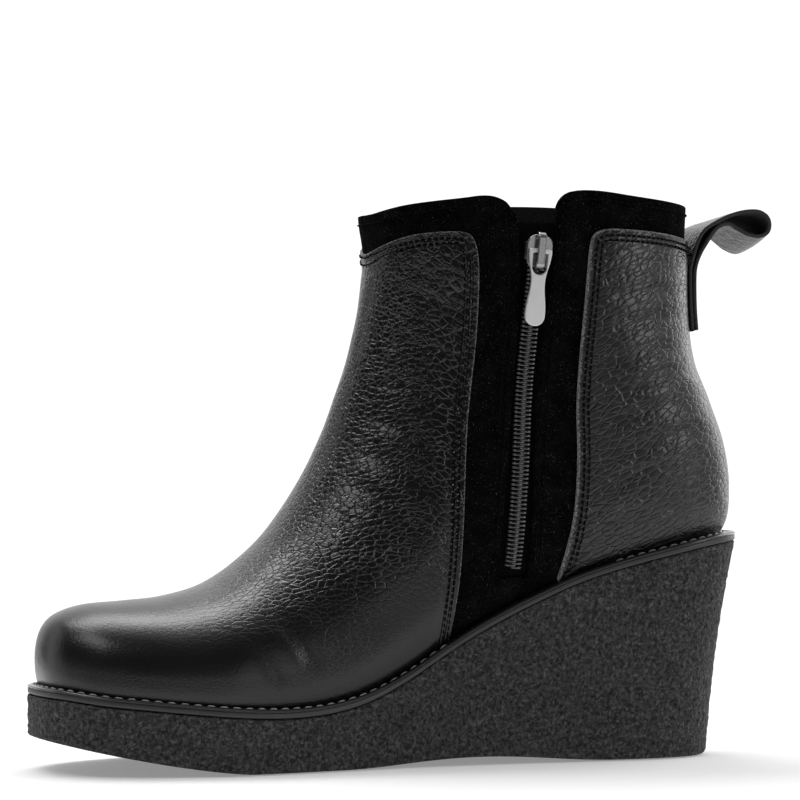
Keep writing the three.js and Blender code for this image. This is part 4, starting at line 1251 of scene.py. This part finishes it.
def find_place(want, axes, start, lift):
    """Where the boot at lift has two wanted coordinates, found by walking from a start."""
    want = np.asarray(want, float)
    u, v = np.full(len(want), start[0]), np.full(len(want), start[1])
    at = lambda u, v: on_boot(u, v, np.full(len(u), lift))[0][:, axes]
    for _ in range(12):
        miss = want - at(u, v)
        du, dv = (at(u + 0.01, v) - at(u, v)) / 0.01, (at(u, v + 0.002) - at(u, v)) / 0.002
        det = du[:, 0] * dv[:, 1] - du[:, 1] * dv[:, 0]
        step_u = (miss[:, 0] * dv[:, 1] - miss[:, 1] * dv[:, 0]) / det
        step_v = (du[:, 0] * miss[:, 1] - du[:, 1] * miss[:, 0]) / det
        u = u + np.clip(step_u, -0.8, 0.8)
        v = v + np.clip(step_v, -0.06, 0.06)
    return u, v


def back_x(y, z):
    """How far back the heel reaches at a place seen from behind, with the strap's clearance."""
    u, v = find_place(np.column_stack([y, z]), [1, 2], (18, 0.0), strap_lift)
    return on_boot(u, v, np.full(len(u), strap_lift))[0][:, 0]


def centripetal(points, count):
    """A Catmull-Rom curve of the centripetal kind through points, at count equal steps."""
    points = np.asarray(points, float)
    ends = np.concatenate([[2 * points[0] - points[1]], points, [2 * points[-1] - points[-2]]])
    knots = np.concatenate([[0], np.cumsum(np.sqrt(np.linalg.norm(np.diff(ends, axis=0), axis=1)))])
    curve = []
    for i in range(1, len(ends) - 2):
        t = np.linspace(knots[i], knots[i + 1], 24, endpoint=False)[:, None]
        mix = lambda a, b, ta, tb: (a * (tb - t) + b * (t - ta)) / (tb - ta)
        a1 = mix(ends[i - 1], ends[i], knots[i - 1], knots[i])
        a2 = mix(ends[i], ends[i + 1], knots[i], knots[i + 1])
        a3 = mix(ends[i + 1], ends[i + 2], knots[i + 1], knots[i + 2])
        b1 = mix(a1, a2, knots[i - 1], knots[i + 1])
        b2 = mix(a2, a3, knots[i], knots[i + 2])
        curve.append(mix(b1, b2, knots[i], knots[i + 1]))
    curve = np.concatenate(curve + [points[-1:]])
    run = np.concatenate([[0], np.cumsum(np.linalg.norm(np.diff(curve, axis=0), axis=1))])
    at = np.linspace(0, run[-1], count)
    return np.stack([np.interp(at, run, curve[:, i]) for i in range(points.shape[1])], -1)


foot_z = rise_z(strap_foot)
sewn_top = foot_z + strap_sewn * strap_rise
row_z = np.array([foot_z + up * strap_rise for _, up in strap_rows])
row_x = back_x(np.full(len(row_z), last_middle[1]), np.minimum(row_z, sewn_top))
row_x += np.array([out for out, _ in strap_rows]) * strap_reach
middle = centripetal(np.column_stack([row_x, row_z]), 170)
tangent = np.gradient(middle, axis=0)
tangent /= np.linalg.norm(tangent, axis=1, keepdims=True)
outside = np.column_stack([-tangent[:, 1], tangent[:, 0]])
foot_x = back_x(last_middle[1:2], np.array([foot_z]))[0]
free = eased((middle[:, 0] - foot_x - 0.1 * strap_reach) / (0.9 * strap_reach))
sewn = 1 - eased(((middle[:, 1] - sewn_top) / strap_rise + 0.1) / 0.25)
seam_z = np.minimum(middle[:, 1], sewn_top)
across = np.sin(np.linspace(-np.pi / 2, np.pi / 2, 25)) * (strap_width / 2 - 0.0003)
ring_y = np.concatenate([across, [strap_width / 2], across[::-1], [-strap_width / 2]])
ring_side = np.concatenate([np.full(25, -1.0), [0.0], np.full(25, 1.0), [0.0]])
centre_x = back_x(np.full(len(seam_z), last_middle[1]), seam_z)
rings = []
for y, side in zip(ring_y, ring_side):
    bend = sewn * (centre_x - back_x(np.full(len(seam_z), y + last_middle[1]), seam_z))
    curl = 0.0006 * free * (2 * y / strap_width) ** 2
    thick = side * strap_thickness / 2 - curl
    rings.append(np.column_stack([
        middle[:, 0] + thick * outside[:, 0] - bend,
        np.full(len(bend), y + last_middle[1]),
        middle[:, 1] + thick * outside[:, 1] - strap_twist * free * y,
    ]))
rings = np.stack(rings, 1)
points, faces = band(rings)
around = rings.shape[1]
last_ring = (len(rings) - 1) * around
ends = [list(range(around)), list(range(last_ring, last_ring + around))[::-1]]
is_leather = np.tile((ring_side > 0) & (np.roll(ring_side, -1) > 0), len(rings) - 1)
strap_suede = brushed_suede("strap_suede", 0.05, 0.2)
strap_leather = tumbled_leather("strap_leather", [(20, 0.0040, 0.0018, -1, -0.9)], False, 0.0)
loop = make_piece(
    "heel_loop", points, [f[::-1] for f in faces + ends], [strap_suede, strap_leather],
    face_finish=np.concatenate([is_leather, [False, False]]).astype(int).tolist(),
    edge=np.full(len(points), 8.0),
)
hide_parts("pull_loop")


# Zip: a closed-end nylon coil zip. Two rows of moulded coil, each over its own cord, are sewn to woven
# tapes, and the tapes are sewn in behind the slot.
tape_lift = -0.0021
tape_thickness = 0.0008
tape_margin = 0.008
tape_cell = 0.0018
coil_middle_lift = -0.00095
coil_pitch = 0.00144
coil_half = 0.0028
tape, base, shader = new_finish("zip_tape", Roughness=0.9, Specular_IOR_Level=0.05)
place = base.place()
warp_inputs = {"Vector": place, "Scale": 650.0, "Distortion": 0.6}
weft_inputs = {"Vector": place, "Scale": 420.0, "Distortion": 0.4}
warp = place.node("TexWave", {"bands_direction": "Z"}, warp_inputs)
weft = place.node("TexWave", {"bands_direction": "X"}, weft_inputs)
feed(shader, Base_Color=warp.greys(0.0015, 0.005), Normal=(warp * 0.6 + weft * 0.5).relief(0.0002))
tape_area = slot_outline(tape_margin, slot_foot - 0.04, 0.93)


def on_tape(points):
    inner = np.where(is_medial(points), seen_inside(tape_area, points), -1.0)
    return np.minimum(inner, over_welt(points, -0.005))


sides = []
for lift in (tape_lift, tape_lift - tape_thickness):
    places, faces, edges = cut_sheet(tape_cell, lift, on_tape)
    points, _ = on_boot(places[:, 0], places[:, 1], np.full(len(places), lift))
    sides.append((points, faces if not sides else [f[::-1] for f in faces]))
points, faces = gather(sides)
tapes = make_piece("zip_tapes", points, faces, [tape])
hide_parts("zip_tape")

nylon, base, shader = new_finish("zip_nylon", Roughness=0.24, Specular_IOR_Level=0.9)
# The coil is painted pale where its heads and outer turns would catch the light: painted highlights.
worn = base.node("Attribute", {"attribute_name": "worn"}, output="Fac")
feed(shader, Base_Color=worn.greys(0.004, 0.12))


def slot_place(rises, shift=0.0, lift=0.0):
    """Points down the middle of the slot, with their upward and outward directions."""
    rows = slot_row(rises)
    want = np.column_stack([along_x(rows[:, 2]) + shift, rise_z(rises)])
    u, v = find_place(want, [0, 2], (16, 0.75), 0.0)
    points, out = on_boot(u, v, np.full(len(u), lift))
    up = np.gradient(points, axis=0)
    up -= out * (up * out).sum(-1, keepdims=True)
    return points, up / np.linalg.norm(up, axis=1, keepdims=True), out


def coil_rods(way, rises):
    """One row of coil: each tooth rises at the outer edge, runs in over the middle and ends in a head."""
    points, up, out = slot_place(rises)
    side = np.cross(up, out) * way
    # inwards from the outer edge, height, half width, half thickness
    shape = np.array([
        (-1.0, -0.75, 0.38, 0.34), (-1.06, -0.15, 0.42, 0.36), (-0.92, 0.36, 0.46, 0.36),
        (-0.6, 0.6, 0.46, 0.36), (-0.25, 0.7, 0.42, 0.34), (0.02, 0.62, 0.35, 0.32),
        (0.2, 0.36, 0.3, 0.3), (0.3, 0.05, 0.2, 0.2),
    ])
    centres = (points[:, None] + side[:, None] * (-shape[:, 0] * coil_half)[None, :, None]
               + out[:, None] * (coil_middle_lift + shape[:, 1] * 0.001)[None, :, None])
    spread = lambda d: np.broadcast_to(d[:, None], centres.shape)
    wide = np.broadcast_to(shape[:, 2] * 0.001, centres.shape[:2])
    high = np.broadcast_to(shape[:, 3] * 0.001, centres.shape[:2])
    return rods(centres, spread(up), spread(out) if way < 0 else -spread(out), wide, high, 8)


# Painted highlight for each ring of a tooth, from its outer edge to its head.
coil_glint_paint = (0.0, 0.9, 0.6, 0.0, 0.1, 0.6, 1.0, 0.1)
coil_step = coil_pitch / leg_height
coil_foot, coil_top = slot_foot + 0.03, 0.83
cord_radius = 0.00042
cord_offset = 0.0009
cord_drop = 0.0006
coil_rises = np.arange(coil_foot, coil_top, coil_step)
parts = [coil_rods(1, coil_rises), coil_rods(-1, coil_rises + coil_step / 2)]
for shift in (-cord_offset, cord_offset):
    path, _, out = slot_place(np.arange(coil_foot, coil_top, 0.01), shift, coil_middle_lift - cord_drop)
    centres = path[None]
    across = np.cross(np.gradient(path, axis=0), out)
    across /= np.linalg.norm(across, axis=1, keepdims=True)
    size = np.full(centres.shape[:2], cord_radius)
    parts.append(rods(centres, across[None], out[None], size, size, 6))
points, faces = gather(parts)
worn = np.zeros(len(points))
worn[:len(parts[0][0]) + len(parts[1][0])] = np.tile(np.repeat(coil_glint_paint, 8), 2 * len(coil_rises))
coil = make_piece("zip_coil_rows", points, faces, [nylon], worn=worn)
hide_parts("zip_coil")


# Zip slider and pull: die-cast and polished, with a bridge over the pull's crossbar. The slider stands
# near the top of the zip, and the pull hangs down from it on its own hinge.
slider_rise = 0.845
slider_width = 0.009
slider_length = 0.011
plate_low = 0.0001
plate_top = 0.0014
crown_width = 0.0027
crown_height = 0.0027
crown_wall = 0.0008
pull_length = 0.0255
pull_thickness = 0.0012


def silver_finish(name, roughness, dull, bright):
    made, base, shader = new_finish(name, Metallic=0.85)
    smears = base.place().cloud(260, 3)
    feed(shader, Base_Color=smears.blend(dull, bright), Roughness=roughness + 0.1 * smears,
         Normal=base.place().cloud(900, 2).relief(0.00002))
    return made


# The slider's silver is painted darker than the pull's: painted shade on the same metal. The slider is also
# the glossier of the two.
shaded_silver = silver_finish("polished_silver_painted_shade", 0.16, (0.36, 0.36, 0.364), (0.392, 0.392, 0.396))
satin = silver_finish("satin_silver", 0.42, (0.9, 0.9, 0.91), (0.98, 0.98, 0.99))

ends, _, outs = slot_place(np.array([slider_rise, slider_rise + 0.05]))
slider_out = Vector(outs[0])
slider_up = Vector(ends[1] - ends[0])
slider_up = (slider_up - slider_out * slider_up.dot(slider_out)).normalized()
slider_side = slider_up.cross(slider_out)
slider_axes = Matrix((slider_side, slider_up, slider_out)).transposed().to_4x4()
slider_frame = Matrix.Translation(ends[0]) @ slider_axes


def curved_plate(outlines, low, high, bevel, turn=Matrix.Identity(4)):
    """Points and faces of a plate with bevelled edges and holes, from closed outlines in its own plane."""
    drawn = bpy.data.curves.new("plate", "CURVE")
    drawn.dimensions = "2D"
    drawn.fill_mode = "BOTH"
    drawn.extrude = (high - low) / 2 - bevel
    drawn.bevel_depth = bevel
    drawn.bevel_resolution = 3
    drawn.offset = -bevel
    for outline in outlines:
        spline = drawn.splines.new("POLY")
        spline.points.add(len(outline) - 1)
        spline.use_cyclic_u = True
        spline.points.foreach_set("co", [c for x, y in outline for c in (x, y, 0, 1)])
    holder = bpy.data.objects.new("plate", drawn)
    made = bpy.data.meshes.new_from_object(holder)
    where = slider_frame @ turn @ Matrix.Translation((0, 0, (low + high) / 2))
    points = np.array([where @ v.co for v in made.vertices])
    faces = [list(p.vertices) for p in made.polygons]
    for data, store in ((holder, bpy.data.objects), (made, bpy.data.meshes), (drawn, bpy.data.curves)):
        store.remove(data)
    return points, faces


def bezier(*corners, steps=10):
    """Points along one Bezier piece, without its last one."""
    t = np.linspace(0, 1, steps, endpoint=False)[:, None]
    rows = [np.asarray(c, float) * np.ones_like(t) for c in corners]
    while len(rows) > 1:
        rows = [a * (1 - t) + b * t for a, b in zip(rows, rows[1:])]
    return rows[0]


half, low = slider_width / 2, -slider_length / 2
round_, narrow = 0.92 * half, 0.3 * half
plate = np.concatenate([
    [(-half + narrow, low)], bezier((half - narrow, low), (half, low + narrow), (half, 0)),
    bezier((half, -low - round_), (half, -low), (half - round_, -low)),
    bezier((-half + round_, -low), (-half, -low), (-half, -low - round_)),
    bezier((-half, 0), (-half, low + narrow), (-half + narrow, low)),
])
arch_half, arch_low, arch_top = slider_length / 2 + crown_wall, plate_top - 0.0002, plate_top + crown_height
hole_half, hole_top = arch_half - 0.0018, arch_top - crown_wall
crown_round = 0.0025
arch = np.concatenate([
    [(-arch_half, arch_low)],
    bezier((arch_half, arch_low), (arch_half, arch_top), (arch_half - crown_round, arch_top)),
    bezier((-arch_half + crown_round, arch_top), (-arch_half, arch_top), (-arch_half, arch_low)),
])
opening = np.array([
    (-hole_half, plate_top), (-hole_half + crown_wall, hole_top),
    (hole_half - crown_wall, hole_top), (hole_half, plate_top),
])
upright = Matrix(((0, 0, 1, 0), (1, 0, 0, 0), (0, 1, 0, 0), (0, 0, 0, 1)))


def flange(way):
    """One side wall of the slider, beside the coil."""
    corners = ((0.74, -0.003), (0.99, -0.003), (0.99, 0.003), (0.74, 0.003))
    return np.array([(way * half * across, along) for across, along in corners])


points, faces = gather([
    curved_plate([plate], plate_low, plate_top, 0.0003),
    curved_plate([arch, opening], -crown_width / 2, crown_width / 2, 0.00035, upright),
    curved_plate([flange(1)], tape_lift + 0.0003, plate_low + 0.0004, 0.0001),
    curved_plate([flange(-1)], tape_lift + 0.0003, plate_low + 0.0004, 0.0001),
])
slider = make_piece("zip_slider_body", points, faces, [shaded_silver], smooth=False)
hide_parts("zip_slider")

top, waist, end, arm_end = 0.004, 0.00245, 0.0035, 0.0006
arm_y, neck_y, waist_y, flare_y, belly_y = (-share * pull_length for share in (0.2, 0.255, 0.42, 0.6, 0.65))
turns = np.linspace(0, -np.pi, 24)
flank = np.concatenate([
    bezier((top - arm_end, arm_end), (top, arm_end), (top, 0), steps=5),
    bezier((top, 0), (top, arm_y), (waist, neck_y), (waist, waist_y), steps=16),
    bezier((waist, waist_y), (waist, flare_y), (end, belly_y), (end, end - pull_length), steps=16),
])
tip = np.column_stack([end * np.cos(turns), end - pull_length + end * np.sin(turns)])
outline = np.concatenate([flank, tip, (flank * (-1, 1))[::-1]])
window_half, window_low = 0.0026, -0.0082
turns = np.linspace(np.pi, 2 * np.pi, 18)
window = np.concatenate([
    [(-window_half, -0.0009)],
    np.column_stack([window_half * np.cos(turns), window_low + window_half + window_half * np.sin(turns)]),
    [(window_half, -0.0009), (0.0, -0.0006)],
])
pivot_out = plate_top + (crown_height - crown_wall) / 2
pull_low, pull_high = pivot_out - pull_thickness / 2, pivot_out + pull_thickness / 2
points, faces = curved_plate([outline, window], pull_low, pull_high, 0.0003)
pull = make_piece("zip_pull_tab", points, faces, [satin], body="zip_tab", smooth=False)
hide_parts("zip_pull")


# Floor: a plain pale sheet that fades into the room.
paper, base, shader = new_finish("pale_paper", Roughness=0.9, Specular_IOR_Level=0.1)
shader.inputs["Base Color"].default_value = (0.86, 0.86, 0.86, 1)
shader.inputs["Emission Color"].default_value = (1, 1, 1, 1)
shader.inputs["Emission Strength"].default_value = 0.25
place = base.place()
squared = place.axis("X") * place.axis("X") + place.axis("Y") * place.axis("Y")
reach = squared.math("SQRT", squared)
feed(shader, Alpha=reach.ramp(0.75, 0.22))
sheet = bpy.data.meshes.new("floor")
sheet.from_pydata([(-1, -1, 0), (1, -1, 0), (1, 1, 0), (-1, 1, 0)], [], [(0, 1, 2, 3)])
sheet.materials.append(paper)
floor = bpy.data.objects.new("floor", sheet)
floor.location.z = -0.0004
bpy.context.scene.collection.objects.link(floor)
floor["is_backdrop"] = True


low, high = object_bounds()
